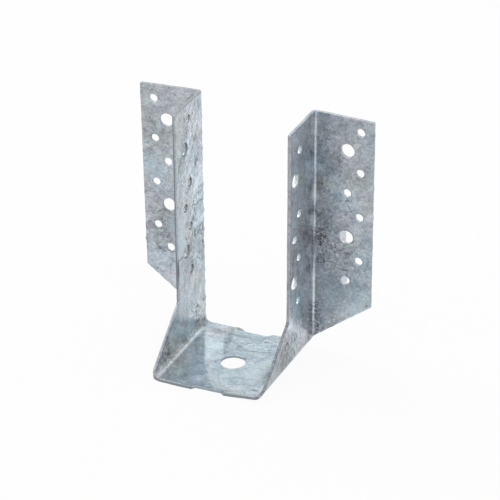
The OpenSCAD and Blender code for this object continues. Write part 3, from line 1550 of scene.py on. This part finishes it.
@dataclass(frozen=True)
class SeatFace:
    """The top of the seat, the glossiest of the faces."""

    face: Canvas = Canvas(Panel.SEAT, Side.RIGHT, Skin.INNER)
    under: Canvas = Canvas(Panel.SEAT, Side.RIGHT, Skin.OUTER)
    streaks: Streaks = Streaks(4.0, 6.0)

    def marks(self) -> Marks:
        """Marks the face.

        Returns:
            Its maps, its dark hairlines and its bright ones.
        """
        seat = self.face
        maps = {
            "wild": seat.blobs((10, 22, 24, 12, 0.35)),
            "tone_and_painted_light": (
                # The three patches are a painted reflection of the left leg in the glossy top: a bright
                # patch with darker strips beside it.
                seat.patch(0.22, 1.2, (-33, 26), (-17.7, -8), (-8, -4.5), (-8.6, 2.3), (-18.5, 26))
                + seat.patch(-0.05, 1.2, (-37, 26), (-33, 26), (-17.7, -8), (-29, -13))
                + seat.patch(
                    -0.24, 2, (-18.4, 36.5), (-15, 19), (-9.6, 3), (-7.8, 3), (-11.2, 19),
                    (-14.6, 36.5),
                )
                # The first blob is painted shade along the left fold, which keeps the fold's highlight
                # narrow; the others darken or lighten the top.
                + seat.blobs(
                    (-39, 0, 60, 1.6, -0.2, 90), (14, 0, 20, 26, 0.05), (-22, 30, 13, 3, -0.25),
                    (-17, 36, 3, 3.5, -0.15), (-14, -26, 8, 12, 0.16), (-28, -22, 9, 14, 0.1),
                    (-19, -2, 3, 6, 0.04), (-12, 5, 4, 4, -0.2), (21, 9, 6, 6, 0.12),
                    (32, -14, 4, 16, -0.18), (2, -40, 10, 2.2, -0.2), (20, -38, 8, 3, -0.08),
                    (-30, 36, 4, 4, 0.12), (-25, 24, 8, 2.5, -0.18), (-11, -32, 5, 5, 0.6),
                    (-12, 5, 4, 3.5, -0.12), (2, -40, 8, 2, -0.1), (31, -10, 4, 12, -0.28),
                    (-37, 31, 3.5, 9, -0.36), (1, -3.25, 13, 13, -0.14), (-17, -8, 3, 9, 0.14),
                    (33, -3, 4, 14, -0.22), (11, 2, 3, 4, 0.12), (-25, 22, 6, 3, -0.14),
                    (-17, -30, 6, 5, -0.24), (22, 33, 6, 6, -0.1), (8, -11, 4, 3, -0.12),
                )
            ),
            # The long bands along the front edge, on both skins, are painted shade; the two small blobs are
            # ash.
            "ash_and_shade": (
                seat.blobs((0, -42.5, 80, 1.1, 0.9), (-13, 25, 1.6, 1.6, 0.8), (-12, 37.5, 6, 1.6, 0.9))
                + self.under.blobs((0, -42.5, 80, 1.1, 0.9))
            ),
            "blue": seat.blobs((6, 0, 60, 60, 0.9), (-30, 0, 14, 30, -0.5)),
            "moss": seat.blobs((-26, -30, 14, 12, 0.6), (-30, 0, 10, 26, 0.25)),
            "gloss": seat.blobs((0, 0, 70, 70, 0.15)),
            "speck": seat.blobs(
                (31.5, -34, 3.5, 1.5, 1, 15), (11, 27.5, 5, 1.4, 0.8, 8), (17.5, 15.6, 3, 1.2, 0.8, 10),
                (-2, 20, 6, 1.5, 0.5, 5),
            ),
        }
        cracks = seat.lines(
            (0.5, (-2.3, 20.3), (6.2, 26.1), (15.3, 28.2)),
            (0.5, (3, 13), (12, 14.5), (22, 17)),
            (0.9, (17, 15.4), (19.5, 15.8)),
            (0.8, (29.6, -33.6), (33.2, -34.8)),
            # This line is painted shade in the middle of the left fold, which splits its highlight in two.
            (0.3, (-37.4, 28), (-37.4, -30)),
            (0.3, (-21, -35.7), (-14.7, -34), (-4, -35)),
            (0.35, (6, -24), (14, -21.5), (24, -20)),
            (0.35, (10, -31), (18, -29), (30, -27.5)),
        )
        for skin in Skin:
            edge = Canvas(Panel.SEAT, Side.RIGHT, skin)
            cracks += edge.lines((1, (36.9, -42.7), (42.5, -36.2), (71.5, 0.7)))
        # This bright hairline is a painted highlight along the left fold.
        veins = seat.lines((0.6, (-35.7, 28), (-35.7, -28)))
        return Marks(maps, cracks, veins)


@dataclass(frozen=True)
class LeftLegFace:
    """The pocket side of the left leg, the most scarred of the faces."""

    face: Canvas = Canvas(Panel.LEG, Side.LEFT, Skin.INNER)
    outside: Canvas = Canvas(Panel.LEG, Side.LEFT, Skin.OUTER)
    streaks: Streaks = Streaks(-36.0, 2.4)

    def marks(self) -> Marks:
        """Marks the face.

        Returns:
            Its maps, its dark hairlines and its bright ones.
        """
        leg = self.face
        maps = {
            "wild": leg.blobs(
                (24, 126, 52, 18, 0.9), (27, 66, 30, 13, 0.8), (28, 14, 10, 12, 0.6),
                (-20, 9, 9, 8, 0.9), (7, 82, 16, 7, -0.9),
            ),
            "tone_and_painted_light": leg.blobs(
                (-10, 14, 16, 22, -0.2), (-15, 13, 6, 6, 0.2), (15, 157, 9, 3.5, -0.22),
                (37, 163, 8, 3, -0.18), (36, 131, 7, 4, -0.2), (24, 141, 8, 6, 0.12),
                (6, 119, 11, 4, -0.14), (25, 109, 8, 5, 0.14), (18, 96, 8, 4, 0.1),
                (4, 102, 5, 3, -0.08), (31, 74, 3.5, 6, -0.24), (24, 67, 3, 5, 0.12),
                (38, 58, 8, 1.5, -0.2), (7, 63, 5, 4, -0.18), (12, 54, 9, 12, -0.12),
                (18, 22, 9, 14, 0.1), (-3, 30, 4, 2.5, -0.2), (27, 4.5, 2.5, 11, -0.25),
                (3, 6, 3, 5, -0.2), (14, 156, 8, 4, -0.16), (36, 162, 7, 3, -0.1),
                (36, 132, 6, 4, -0.16), (24, 140, 6, 5, 0.1), (6, 119, 8, 4, -0.12),
                (33, 109, 7, 6, 0.26), (19, 99, 6, 4, 0.08), (31, 74, 3, 6, -0.16),
                (38.5, 57, 10, 2, -0.15), (12, 52, 8, 12, -0.1), (6, 44, 6, 5, -0.08),
                (6, 3.5, 2.5, 6, -0.25), (-35, 3.5, 3, 6, -0.2), (-21, 18.4, 26, 1.6, -0.16, -51.75),
                (-0.4, 100, 75, 0.7, 0.35), (24, 19, 6, 9, 0.14), (33, 11, 3, 4, 0.14),
                (7, 82, 18, 6, 0.1), (12, 36, 10, 12, 0.05), (4, 150, 14, 5, 0.06),
                (20, 7.5, 5, 6, -0.2), (29, 3, 3, 5, -0.12), (2.5, 21, 4, 4, 0.18),
                (26, 105, 5, 8, 0.2), (37, 77, 5, 4, 0.26), (20, 112, 9, 5, 0.14),
                (38, 104, 5, 3, 0.18), (19, 92, 6, 4, 0.14), (20, 140, 8, 6, 0.1),
                (17, 70, 7, 4, -0.12), (5, 130, 8, 5, -0.16), (-2, 21, 5, 4, 0.2),
                (-14, 13, 5, 5, 0.12), (7, 63, 4, 4, -0.16), (5.5, 116, 6, 3, -0.16),
                (31, 108, 9, 5, 0.1),
            ),
            # Painted highlights: pale patches of sheen on the face.
            "painted_highlight": leg.blobs(
                (27, 148, 16, 4, 0.55, -10), (30, 108, 8, 5, 0.6), (17, 130, 10, 3, 0.5, -36),
                (5, 84, 14, 3, 0.45), (22, 97, 7, 4, 0.4, -30),
            ),
            "ash_and_shade": (
                leg.blobs(
                    (28, 8, 4, 8, 0.7), (-20, 7.5, 4, 5, 1), (-12, 15, 4, 3, 0.5),
                    (29.2, 123, 3.2, 1.6, 0.8, -20), (25, 72.5, 3, 4, 0.7, -20),
                    (16, 66, 4.5, 1.6, 0.55), (-1, 60, 6, 2, 0.9), (-21.5, 18.75, 25, 1, 0.4, -51.75),
                    (-0.8, 52, 12, 1, 0.8),
                )
                + self.outside.blobs((-0.5, 100, 120, 1.3, 1.1), (-21.5, 18.75, 25, 1, 0.4, -51.75))
            ),
            "rust": leg.blobs((37, 64, 12, 3, 0.3)),
            "blue": leg.blobs((18, 85, 90, 35, 0.45), (8, 82, 18, 8, 0.3), (-12, 12, 14, 20, -0.6)),
            "moss": leg.blobs((4, 145, 30, 7, 0.4), (-12, 12, 14, 22, 0.5)),
            "speck": leg.blobs(
                (20.3, 82, 4.5, 2.2, 0.9), (36, 72, 5, 3, 1.5, -20), (25, 73, 3.5, 4, 2, -30),
                (12.2, 75.7, 1.6, 1.6, 1.2), (37, 60, 7, 2.5, 0.8), (25.5, 18, 5, 4, 2, 20),
                (37, 19.5, 3, 2.5, 1.1), (27, 8, 4, 7, 0.7), (17, 52, 6, 4, 0.6), (28, 97, 6, 9, 0.7),
                (34, 104, 6, 4, 0.6), (-20, 8, 4, 6, 1), (22, 140, 22, 10, 0.35),
            ),
        }
        cracks = leg.lines(
            (0.8, (16.2, 143.5), (17.6, 140), (16, 135.6), (10.2, 134.2)),
            (1, (12.6, 133.6), (11.4, 131)),
            (1.1, (20.6, 117.6), (22.7, 114.8), (22.6, 112.2), (20.8, 109.9), (17, 108.4)),
            (0.9, (19.5, 110), (16.5, 107)),
            (1, (29.8, 125.6), (29.2, 121)),
            (0.8, (28.6, 129.5), (27.6, 127)),
            (1.2, (5.6, 133.5), (4.4, 131), (3.1, 127.4)),
            (0.7, (14.6, 101), (15.4, 98.2), (14, 95.6)),
            (0.7, (24.5, 94.8), (30, 93.4), (34, 94.2), (39.2, 92.3)),
            (0.6, (25.8, 100), (24.6, 97), (25.3, 94.5)),
            (0.5, (19.6, 97), (20.1, 94.9), (19.2, 92)),
            (0.8, (30, 165), (27.5, 161), (25, 158)),
            (0.6, (34.5, 164), (34.8, 158), (34.2, 153)),
            (0.6, (25, 150), (24.5, 146), (26, 142)),
            (1.1, (20.5, 70.5), (24, 73), (27.5, 75)),
            (0.7, (36, 77), (33, 74), (30.5, 71)),
            (1.2, (11.9, 76.2), (12.4, 75.4)),
            (0.7, (16.4, 70.5), (18, 66.5), (16.4, 62.4)),
            (0.9, (12.5, 64.4), (8.5, 65.6), (4.9, 65.5), (1, 65.4), (-2.2, 64.8)),
            (1.3, (-0.6, 65.2), (-0.6, 61.6), (0.4, 55.6)),
            (1, (21.9, 53.9), (22.6, 50.6), (19.6, 47.5)),
            (0.9, (30.8, 53.4), (33.5, 51.2)),
            (0.9, (21.8, 22.8), (22.4, 22)),
            (1, (24.6, 16.4), (25.6, 15.2)),
            (0.9, (27.5, 19.5), (28.4, 18)),
            (0.9, (18.1, 20.4), (18.7, 19.6)),
            (0.9, (34.6, 20.6), (37, 19.6), (39.4, 17.4)),
            (0.9, (-25, 10.6), (-20.5, 7.8), (-17, 6.4)),
        )
        return Marks(maps, cracks)


@dataclass(frozen=True)
class RightLegFace:
    """The outside of the right leg, smooth above, with a painted highlight at its foot."""

    face: Canvas = Canvas(Panel.LEG, Side.RIGHT, Skin.OUTER)
    streaks: Streaks = Streaks(-14.0, 3.5)

    def marks(self) -> Marks:
        """Marks the face.

        Returns:
            Its maps, its dark hairlines and its bright ones.
        """
        leg = self.face
        maps = {
            "wild": leg.blobs(
                (16, 20, 14, 22, 0.9), (20, 100, 80, 30, 0.3), (34, 75, 26, 10, 0.5),
                (34, 135, 30, 6, 0.5), (12, 40, 8, 14, -0.5),
            ),
            # The light blobs at 36 to 38, beside the fold, are painted highlight that widens the fold's
            # own; the rest darken or lighten the face.
            "tone_and_painted_light": leg.blobs(
                (-8, 8, 15, 24, -0.42), (10, 29, 10, 6, 0.16, -36), (20, 55, 22, 16, -0.1),
                (16, 108, 6, 16, 0.1), (33, 128, 14, 6, -0.08), (4, 155, 16, 8, 0.06),
                (8, 136, 8, 9, 0.26), (4, 112, 20, 5, 0.1), (12, 97, 9, 10, 0.12),
                (30, 152, 6, 5, -0.08), (33, 117, 4, 5, -0.16), (37, 93, 4, 2.5, 0.22),
                (36, 108, 3, 3, 0.14), (20, 81, 4, 4, -0.15), (33, 62, 8, 8, -0.16),
                (8, 55, 12, 5, 0.13), (4, 35, 6, 5, 0.12), (37, 26, 12, 3.5, -0.26),
                (33, 8, 6, 5, -0.3), (24, 16, 5, 4, 0.14), (14, 132, 7, 7, 0.14), (37, 108, 5, 4, 0.36),
                (38, 93, 3.5, 2.4, 0.42), (37.5, 81, 8, 2.5, 0.12), (20, 96, 5, 8, 0.08),
                (21, 81, 4, 4, -0.12), (34.5, 115.5, 5, 5, -0.5), (10, 146, 22, 12, 0.09),
                (34, 57, 8, 7, -0.14), (18, 70, 5, 5, -0.12), (21, 22, 8, 7, 0.16), (2, 34, 6, 5, 0.14),
                (36, 55, 6, 4, -0.12), (12, 40, 10, 6, 0.12), (2, 32, 4, 4, 0.2), (37, 22, 5, 4, -0.28),
                (35, 6, 4, 4, -0.15), (-0.3, 95, 75, 1.2, -0.32), (36, 82, 14, 6, 0.16),
                (26, 14, 5, 5, 0.16), (20, 33, 5, 5, 0.14), (12, 62, 5, 6, 0.18),
            ),
            # A painted highlight on the foot.
            "painted_highlight": leg.blobs((9, 28, 11, 3.2, 0.8, -36), (19, 24, 8, 2, 0.5, -25)),
            "ash_and_shade": leg.blobs((27, 10, 9, 8, 0.4), (33, 30, 12, 5, 0.35)),
            "rust": leg.blobs(
                (28, 78.5, 4, 8, 0.8, -10), (-2, 21, 5, 5, 0.55), (-12, 11, 10, 14, 0.25),
            ),
            "blue": leg.blobs(
                (10, 28, 12, 14, 0.7), (18, 45, 14, 14, 0.4), (1, 110, 60, 5, -0.5),
                (14, 150, 18, 10, 0.3),
            ),
            "moss": leg.blobs((30, 115, 40, 8, 0.35), (-12, 10, 10, 16, 0.3)),
            "speck": leg.blobs((-2, 21, 5, 6, 1), (31, 78, 8, 7, 0.6), (15, 85, 90, 30, 0.16)),
        }
        cracks = leg.lines(
            (0.8, (-7.5, 22.4), (-5.5, 21.4)),
            (0.8, (-1.5, 22), (1, 17.8)),
            (0.7, (3.8, 23.8), (5, 22.2)),
        )
        veins = leg.lines(
            (0.7, (3, 38), (8, 29.4), (15.7, 19.5)),
            (0.6, (12, 37), (15, 28), (19, 18)),
            (0.6, (20, 34), (21.5, 26), (24, 16)),
            (0.5, (28, 24), (24.5, 18), (16, 12)),
        )
        return Marks(maps, cracks, veins)


@dataclass(frozen=True)
class LeftFlangeFace:
    """The front of the left flange, cloudy and darker round its lower holes."""

    face: Canvas = Canvas(Panel.FLANGE, Side.LEFT, Skin.OUTER)
    streaks: Streaks = Streaks(80.0, 2.0)

    def marks(self) -> Marks:
        """Marks the face.

        Returns:
            Its maps, its dark hairlines and its bright ones.
        """
        flange = self.face
        maps = {
            "wild": flange.blobs(
                (60, 90, 120, 60, 0.22), (68, 62, 22, 16, 0.2), (66, 132, 10, 12, 0.3),
            ),
            "tone_and_painted_light": flange.blobs(
                (68, 107, 13, 14, 0.07), (68, 42, 7, 14, 0.1), (60, 150, 12, 18, 0.03),
                (62, 158, 9, 16, 0.12), (74, 120, 14, 9, 0.13), (80, 130, 6, 4, 0.08),
                (72, 141, 2.5, 9, -0.14), (62.5, 131, 7, 2.5, -0.13), (79, 80, 3, 3, 0.12),
                (70, 66, 12, 10, -0.06), (65, 46, 4, 4, -0.08), (66, 31, 6, 12, 0.16),
                (66, 156, 12, 20, 0.09), (78, 144, 3, 4, 0.08), (72, 139, 4, 10, -0.11),
                (63, 133, 6, 2.5, -0.11), (78, 94, 6, 6, 0.1), (72, 114, 4, 4, 0.08),
                (80, 56, 10, 3, -0.12), (50, 161, 5, 8, 0.12), (70, 115, 6, 8, 0.12),
                (80, 80, 4, 5, 0.1), (60, 119, 4, 4, -0.14),
            ),
            "ash_and_shade": flange.blobs(
                (68, 131, 7, 9, 0.5, 20), (72, 120, 4, 4, 0.4), (68, 70, 10, 10, 0.45),
                (67, 60, 2.6, 10, 0.4), (70.5, 50.4, 2, 4, 0.8, -25), (66, 41, 2, 3, 0.4),
            ),
            "rust": flange.blobs((66, 78, 2, 4, 0.35), (63, 129, 6, 4, 0.3)),
            "blue": flange.blobs((68, 107, 14, 16, 0.5), (68, 42, 8, 14, 0.4), (58, 152, 14, 16, -0.4)),
            "moss": flange.blobs((70, 68, 10, 8, 0.6), (70, 128, 8, 6, 0.5), (78, 145, 10, 4, 0.5)),
            "speck": flange.blobs(
                (68, 68, 11, 10, 0.45), (66, 60, 2.5, 6, 0.6), (72.4, 34, 1.4, 1.4, 1),
                (66, 41.4, 1.2, 1.2, 0.8), (66, 130, 9, 9, 0.35), (46, 162, 4, 3, 0.6),
            ),
        }
        cracks = flange.lines(
            (0.3, (79.2, 76), (75.2, 76.7), (71.5, 76.8)),
            (0.5, (72, 76.4), (70.4, 77.6), (67.5, 79.6)),
            (0.4, (67.5, 79.6), (64.8, 79.2), (62.6, 77.8)),
            (0.8, (72.9, 52.9), (70.6, 49.9), (66.6, 48.8)),
            (0.5, (64.2, 49.4), (62.4, 48.2), (60.4, 49.2)),
            (0.5, (47.5, 161.8), (44.9, 164.8)),
        )
        return Marks(maps, cracks)


@dataclass(frozen=True)
class RightFlangeFace:
    """The front of the right flange, with pale veins over a dull patch beside its fold."""

    face: Canvas = Canvas(Panel.FLANGE, Side.RIGHT, Skin.OUTER)
    streaks: Streaks = Streaks(60.0, 2.0)

    def marks(self) -> Marks:
        """Marks the face.

        Returns:
            Its maps, its dark hairlines and its bright ones.
        """
        flange = self.face
        maps = {
            "wild": flange.blobs(
                (60, 100, 120, 60, 0.2), (50, 75, 20, 12, 0.4), (58, 35, 16, 18, -0.5),
            ),
            "tone_and_painted_light": flange.blobs(
                (46, 82, 7, 5, -0.16), (44, 93, 6, 5, -0.26), (47, 65, 4, 4, 0.12), (52, 56, 6, 3, 0.1),
                (47, 95, 6, 7, -0.1), (50, 113.5, 2.4, 9, -0.1), (44, 118, 10, 4, -0.1),
                (60, 40, 14, 16, 0.1), (70, 108, 10, 10, 0.08), (56, 148, 16, 10, 0.08),
                (43, 20, 12, 3, -0.12), (60, 163, 4, 16, 0.08), (57.5, 140, 7, 2.5, -0.22),
                (62, 121, 6, 12, 0.16), (55, 98, 14, 6, 0.16), (57.5, 82, 5, 5, -0.16),
                (55.5, 152.5, 3, 3, 0.16), (62, 117, 5, 6, 0.14), (48.5, 119, 4, 4, 0.1),
                (55, 54, 5, 8, -0.08), (42, 19, 6, 3, -0.16), (45, 10.5, 3, 3, 0.2),
                (61, 75, 4, 5, -0.26), (43, 60, 6, 3, -0.16), (66, 39, 14, 16, 0.14),
                (44, 27, 14, 3.5, -0.16), (49, 12.5, 16, 2.5, -0.48, 52), (44, 161, 6, 4, 0.1),
                (57.5, 137, 5, 3, -0.24), (56, 160, 5, 4, 0.1), (52, 129, 3, 5, -0.1),
                (49.5, 118.5, 3, 4, 0.2), (64, 112, 10, 8, 0.1), (68, 92, 5, 6, 0.1),
                (54, 85, 5, 4, 0.18), (60, 73, 4, 5, -0.16), (49, 67, 6, 4, 0.12),
                (55, 54, 4, 5, -0.08), (61, 52, 3, 3, 0.14), (60, 36, 8, 8, 0.08),
            ),
            # A painted highlight along the fold, in pieces.
            "painted_highlight": flange.blobs(
                (39.6, 157, 7, 1.5, 1.5), (39.6, 142, 6, 1.6, 1.6), (39.6, 131, 4, 1.6, 1.5),
                (39.6, 111, 9, 1.8, 1.8), (39.6, 92, 4, 1.8, 1.8), (39.6, 48, 9, 1.7, 2),
                (39.6, 33, 5, 1.8, 1.8), (39.6, 22, 5, 1.7, 1.1),
            ),
            # The first two blobs lie on the fold and are painted shade that breaks its highlight; the
            # others are ash.
            "ash_and_shade": flange.blobs(
                (39.5, 73, 11, 2, 1.3), (39.5, 119, 2.5, 1.2, 0.6), (50, 132, 20, 9, 0.3),
                (58, 52, 4, 9, 0.3),
            ),
            "rust": flange.blobs((44, 80, 7, 5, 0.9), (47, 66, 10, 6, 0.35), (41, 12, 8, 4, 0.4)),
            "blue": flange.blobs(
                (60, 42, 16, 18, 0.5), (50, 113.5, 3, 10, 0.6), (66, 105, 10, 12, 0.4),
                (58, 150, 14, 12, -0.4), (56, 68, 10, 8, -0.3),
            ),
            "moss": flange.blobs((51, 119, 5, 5, 0.7), (49, 97, 12, 7, 0.4), (62, 128, 8, 5, 0.3)),
            "speck": flange.blobs(
                (42.5, 97, 3, 3, 1.2), (44.5, 118, 7, 4, 0.7), (42.8, 24, 12, 3, 1),
                (44.5, 12, 4, 3, 1), (54, 24.5, 3, 3, 0.6), (46, 150, 10, 6, 0.45), (44.5, 80, 8, 6, 1),
                (50, 70, 10, 7, 0.6), (63.5, 111, 2, 3, 0.7), (60, 85, 90, 30, 0.2),
            ),
            "worm": (
                flange.patch(1.3, 1.5, (44, 86), (52, 84), (62, 68), (62, 60.5), (44, 59))
                + flange.blobs((66, 64, 5, 6, 0.5))
            ),
        }
        cracks = flange.lines(
            (0.35, (63.9, 106.5), (66, 103), (68.9, 100.6)),
            (0.7, (59.9, 60.1), (62.4, 59.7), (64.3, 60.8)),
            (0.8, (42.2, 98), (43.2, 96.6)),
            (0.8, (41.2, 97), (42.2, 95.8)),
            (0.6, (44.5, 119), (45, 117)),
        )
        veins = flange.lines(
            (0.6, (52.5, 80), (55, 74), (58.8, 66), (60, 61)),
            (0.6, (48, 76), (53, 71), (56, 64)),
            (0.5, (66, 90), (71, 85), (77, 82)),
        )
        return Marks(maps, cracks, veins)


@dataclass
class Hanger:
    """The joist hanger: its blank, its coat and its finish."""

    bends: Bends = field(default_factory=Bends)
    finish: GalvanisedZinc = field(default_factory=GalvanisedZinc)

    def blank(self) -> Blank:
        """Returns the blank, at the size of the CAD node."""
        low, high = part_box(NODE)
        return Blank(high.x / MM, high.z / MM, (high.y - low.y) / MM, self.bends)

    def coat(self) -> Coat:
        """Lays the coat.

        Returns:
            Its relief, with the lumps, dents and drips of this hanger.
        """
        seat = Canvas(Panel.SEAT, Side.RIGHT, Skin.INNER)
        leg = Canvas(Panel.LEG, Side.LEFT, Skin.INNER)
        flange = Canvas(Panel.FLANGE, Side.LEFT, Skin.OUTER)
        far_leg = Canvas(Panel.LEG, Side.RIGHT, Skin.OUTER)
        far_flange = Canvas(Panel.FLANGE, Side.RIGHT, Skin.OUTER)
        lumps = (
            seat.blobs((-14.5, 38, 1.4, 1.6, 0.5), (-8.6, 36.4, 1.2, 1.2, 0.45), (32.5, -34, 1.2, 0.8, 0.3))
            + leg.blobs(
                (29, 123, 2.2, 1.4, -0.25, -20), (25, 73, 2, 2.6, 0.3, -20), (24, 22, 1.2, 1.2, -0.3),
                (27, 19, 1, 1, -0.25), (35, 20, 1.2, 1.6, 0.35), (-18, 7, 2.2, 2.2, 0.35),
            )
            + flange.blobs((80.5, 56, 1.2, 1.5, 0.7))
            + far_flange.blobs((79.5, 37.5, 1.2, 1.2, 0.5))
            + far_leg.blobs((38, 5, 2, 2, 0.4))
        )
        beside_fold = self.blank().fold_back + 1.2
        for height, rise in (
            (151, 0.35), (140, 0.3), (129, 0.45), (121, 0.3), (112, -0.3), (103, 0.45), (96, 0.4),
            (90, -0.3), (84, 0.5), (77, 0.35), (70, 0.5), (63, -0.3), (57, 0.4), (49, 0.3),
            (40, 0.4), (31, 0.45), (25, -0.3), (19, 0.5), (13, 0.3),
        ):
            lumps += leg.blobs((beside_fold, height, 1.3, 1.6, rise))
        drips = (
            seat.blobs((-14, 39, 1.4, 2, 0.8), (-9, 37, 1.2, 1.5, 0.7))
            + flange.blobs((81, 56, 1.4, 2, 0.3))
            + far_flange.blobs((81, 36.5, 1.6, 2, 0.3), (81, 101, 1.4, 2, 0.25), (81, 122, 1.4, 2, 0.25))
        )
        return Coat(lumps, drips)

    def marks(self) -> Weathering:
        """Returns the marks on the coat."""
        faces = (SeatFace(), LeftLegFace(), RightLegFace(), LeftFlangeFace(), RightFlangeFace())
        streaks = {(face.face.panel, face.face.side): face.streaks for face in faces}
        streaks[Panel.SEAT, Side.LEFT] = streaks[Panel.SEAT, Side.RIGHT]
        return Weathering(tuple(face.marks() for face in faces), streaks)

    def build(self) -> bpy.types.Object:
        """Makes the hanger and puts it in the place of its CAD node.

        Returns:
            The piece.
        """
        blank = self.blank()
        holes = blank.flange_holes(Side.RIGHT)
        films = tuple(
            Film(holes[row], turn_deg, chord)
            for row, (turn_deg, chord) in zip(blank.filmed_rows, ((-90.0, 0.08), (-75.0, -0.3)))
        )
        sheet = SheetMesh(blank, self.coat(), self.marks(), films)
        piece = sheet.build("galvanised_hanger")
        piece.data.materials.append(self.finish.build("hot_dip_zinc"))
        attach(piece, "root")
        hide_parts(NODE)
        LOG.info("%s: %d faces", piece.name, len(piece.data.polygons))
        return piece


@dataclass
class Studio:
    """A pale floor, a pale room and soft lamps.

    Attributes:
        floor_half: half the length of a side of the floor.
        floor_front: the brightness of the floor before the hanger, as the hanger mirrors it.
        floor_rear: its brightness behind the hanger.
        floor_glow: the share of its own white that the camera sees, the rest being lit paper.
        room_light: the light of the room on what is lit by it.
    """

    floor_half: float = 6.0
    floor_front: float = 0.74
    floor_rear: float = 0.98
    floor_glow: float = 0.93
    room_light: float = 0.75

    def floor(self) -> bpy.types.Object:
        """Makes the floor, white to the eye and a little darker in the metal.

        Returns:
            The floor.
        """
        half = self.floor_half
        mesh = bpy.data.meshes.new("floor")
        corners = [(-half, -half, 0.0), (half, -half, 0.0), (half, half, 0.0), (-half, half, 0.0)]
        mesh.from_pydata(corners, [], [(0, 1, 2, 3)])
        floor = bpy.data.objects.new("floor", mesh)
        bpy.context.scene.collection.objects.link(floor)
        material = bpy.data.materials.new("floor_paper")
        material.use_nodes = True
        maker = NodeMaker(material.node_tree)
        camera, glossy, through = (maker.rays(kind) for kind in ("Camera", "Glossy", "Transmission"))
        place = maker.make("ShaderNodeTexCoord", {}, {}, "Object")
        split = maker.make("ShaderNodeSeparateXYZ", {}, {0: place}, "Y")
        level = split.rise(-0.25, 0.25) * (self.floor_rear - self.floor_front) + self.floor_front
        shade = level.math("MAXIMUM", level, camera)
        paper = maker.make("ShaderNodeBsdfDiffuse", {}, {"Color": (0.8, 0.8, 0.8, 1.0)})
        white = maker.make("ShaderNodeEmission", {}, {"Color": (1.0, 1.0, 1.0, 1.0), "Strength": shade})
        factor = (camera * self.floor_glow + glossy + through).limit(0.0, 1.0)
        surface = maker.make("ShaderNodeMixShader", {}, {0: factor, 1: paper, 2: white})
        maker.make("ShaderNodeOutputMaterial", {}, {"Surface": surface})
        mesh.materials.append(material)
        return floor

    def room(self) -> None:
        """Makes the room, white to the eye and dimmer as a light."""
        world = bpy.data.worlds.new("room")
        bpy.context.scene.world = world
        world.use_nodes = True
        maker = NodeMaker(world.node_tree)
        seen = maker.rays("Camera", "Glossy", "Transmission")
        strength = seen * (1.0 - self.room_light) + self.room_light
        inputs = {"Color": (1.0, 1.0, 1.0, 1.0), "Strength": strength}
        light = maker.make("ShaderNodeBackground", {}, inputs)
        maker.make("ShaderNodeOutputWorld", {}, {"Surface": light})

    def lamp(self, name: str, place: tuple[float, float, float], size: float, watts: float) -> None:
        """Hangs a square soft lamp that faces the hanger.

        Args:
            name: its name.
            place: where it hangs, in metres.
            size: the length of its side.
            watts: its power.
        """
        light = bpy.data.lights.new(name, "AREA")
        light.shape = "SQUARE"
        light.size = size
        light.energy = watts
        lamp = bpy.data.objects.new(name, light)
        bpy.context.scene.collection.objects.link(lamp)
        towards = Vector((0.0, 0.0, 0.08)) - Vector(place)
        turn = towards.to_track_quat("-Z", "Y").to_matrix().to_4x4()
        lamp.matrix_world = Matrix.Translation(place) @ turn

    def build(self) -> None:
        """Builds the whole studio."""
        self.floor()
        self.room()
        self.lamp("key_lamp", (-0.9, 0.5, 1.3), 1.1, 9.0)
        self.lamp("fill_lamp", (1.3, -0.9, 1.0), 1.2, 5.0)
        bpy.context.scene.view_settings.view_transform = "Standard"
        LOG.info("studio: floor, room and lamps")


@dataclass
class Camera:
    """A camera that stands off the hanger.

    Attributes:
        azimuth_deg: its turn to the right, away from the front.
        elevation_deg: its height above the horizon.
        roll_deg: its tilt about its own line of sight.
        distance: its distance from the target, in metres.
        lens: its focal length, for a sensor 36 mm wide.
        target: the place that it looks at, in metres.
    """

    azimuth_deg: float = 23.715
    elevation_deg: float = 27.543
    roll_deg: float = -0.686
    distance: float = 1.7061
    lens: float = 194.5
    target: tuple[float, float, float] = (0.01316, -0.00225, 0.08551)

    def build(self) -> bpy.types.Object:
        """Makes the camera and makes it the scene's own.

        Returns:
            The camera.
        """
        azimuth, elevation = math.radians(self.azimuth_deg), math.radians(self.elevation_deg)
        back = Vector((
            math.sin(azimuth) * math.cos(elevation),
            -math.cos(azimuth) * math.cos(elevation),
            math.sin(elevation),
        ))
        right = (-back).cross(Vector((0.0, 0.0, 1.0))).normalized()
        up = right.cross(-back)
        roll = math.radians(self.roll_deg)
        level = right * math.cos(roll) + up * math.sin(roll)
        upright = up * math.cos(roll) - right * math.sin(roll)
        data = bpy.data.cameras.new("camera")
        data.sensor_width = 36.0
        data.lens = self.lens
        camera = bpy.data.objects.new("camera", data)
        bpy.context.scene.collection.objects.link(camera)
        pose = Matrix((level, upright, back)).transposed().to_4x4()
        pose.translation = Vector(self.target) + back * self.distance
        camera.matrix_world = pose
        bpy.context.scene.camera = camera
        LOG.info("camera: %.1f mm lens", self.lens)
        return camera


def main() -> None:
    """Builds the camera, the studio and the hanger."""
    logging.basicConfig(level=logging.INFO, format="%(name)s: %(message)s")
    Camera().build()
    Studio().build()
    Hanger().build()


if __name__ == "__main__":
    main()
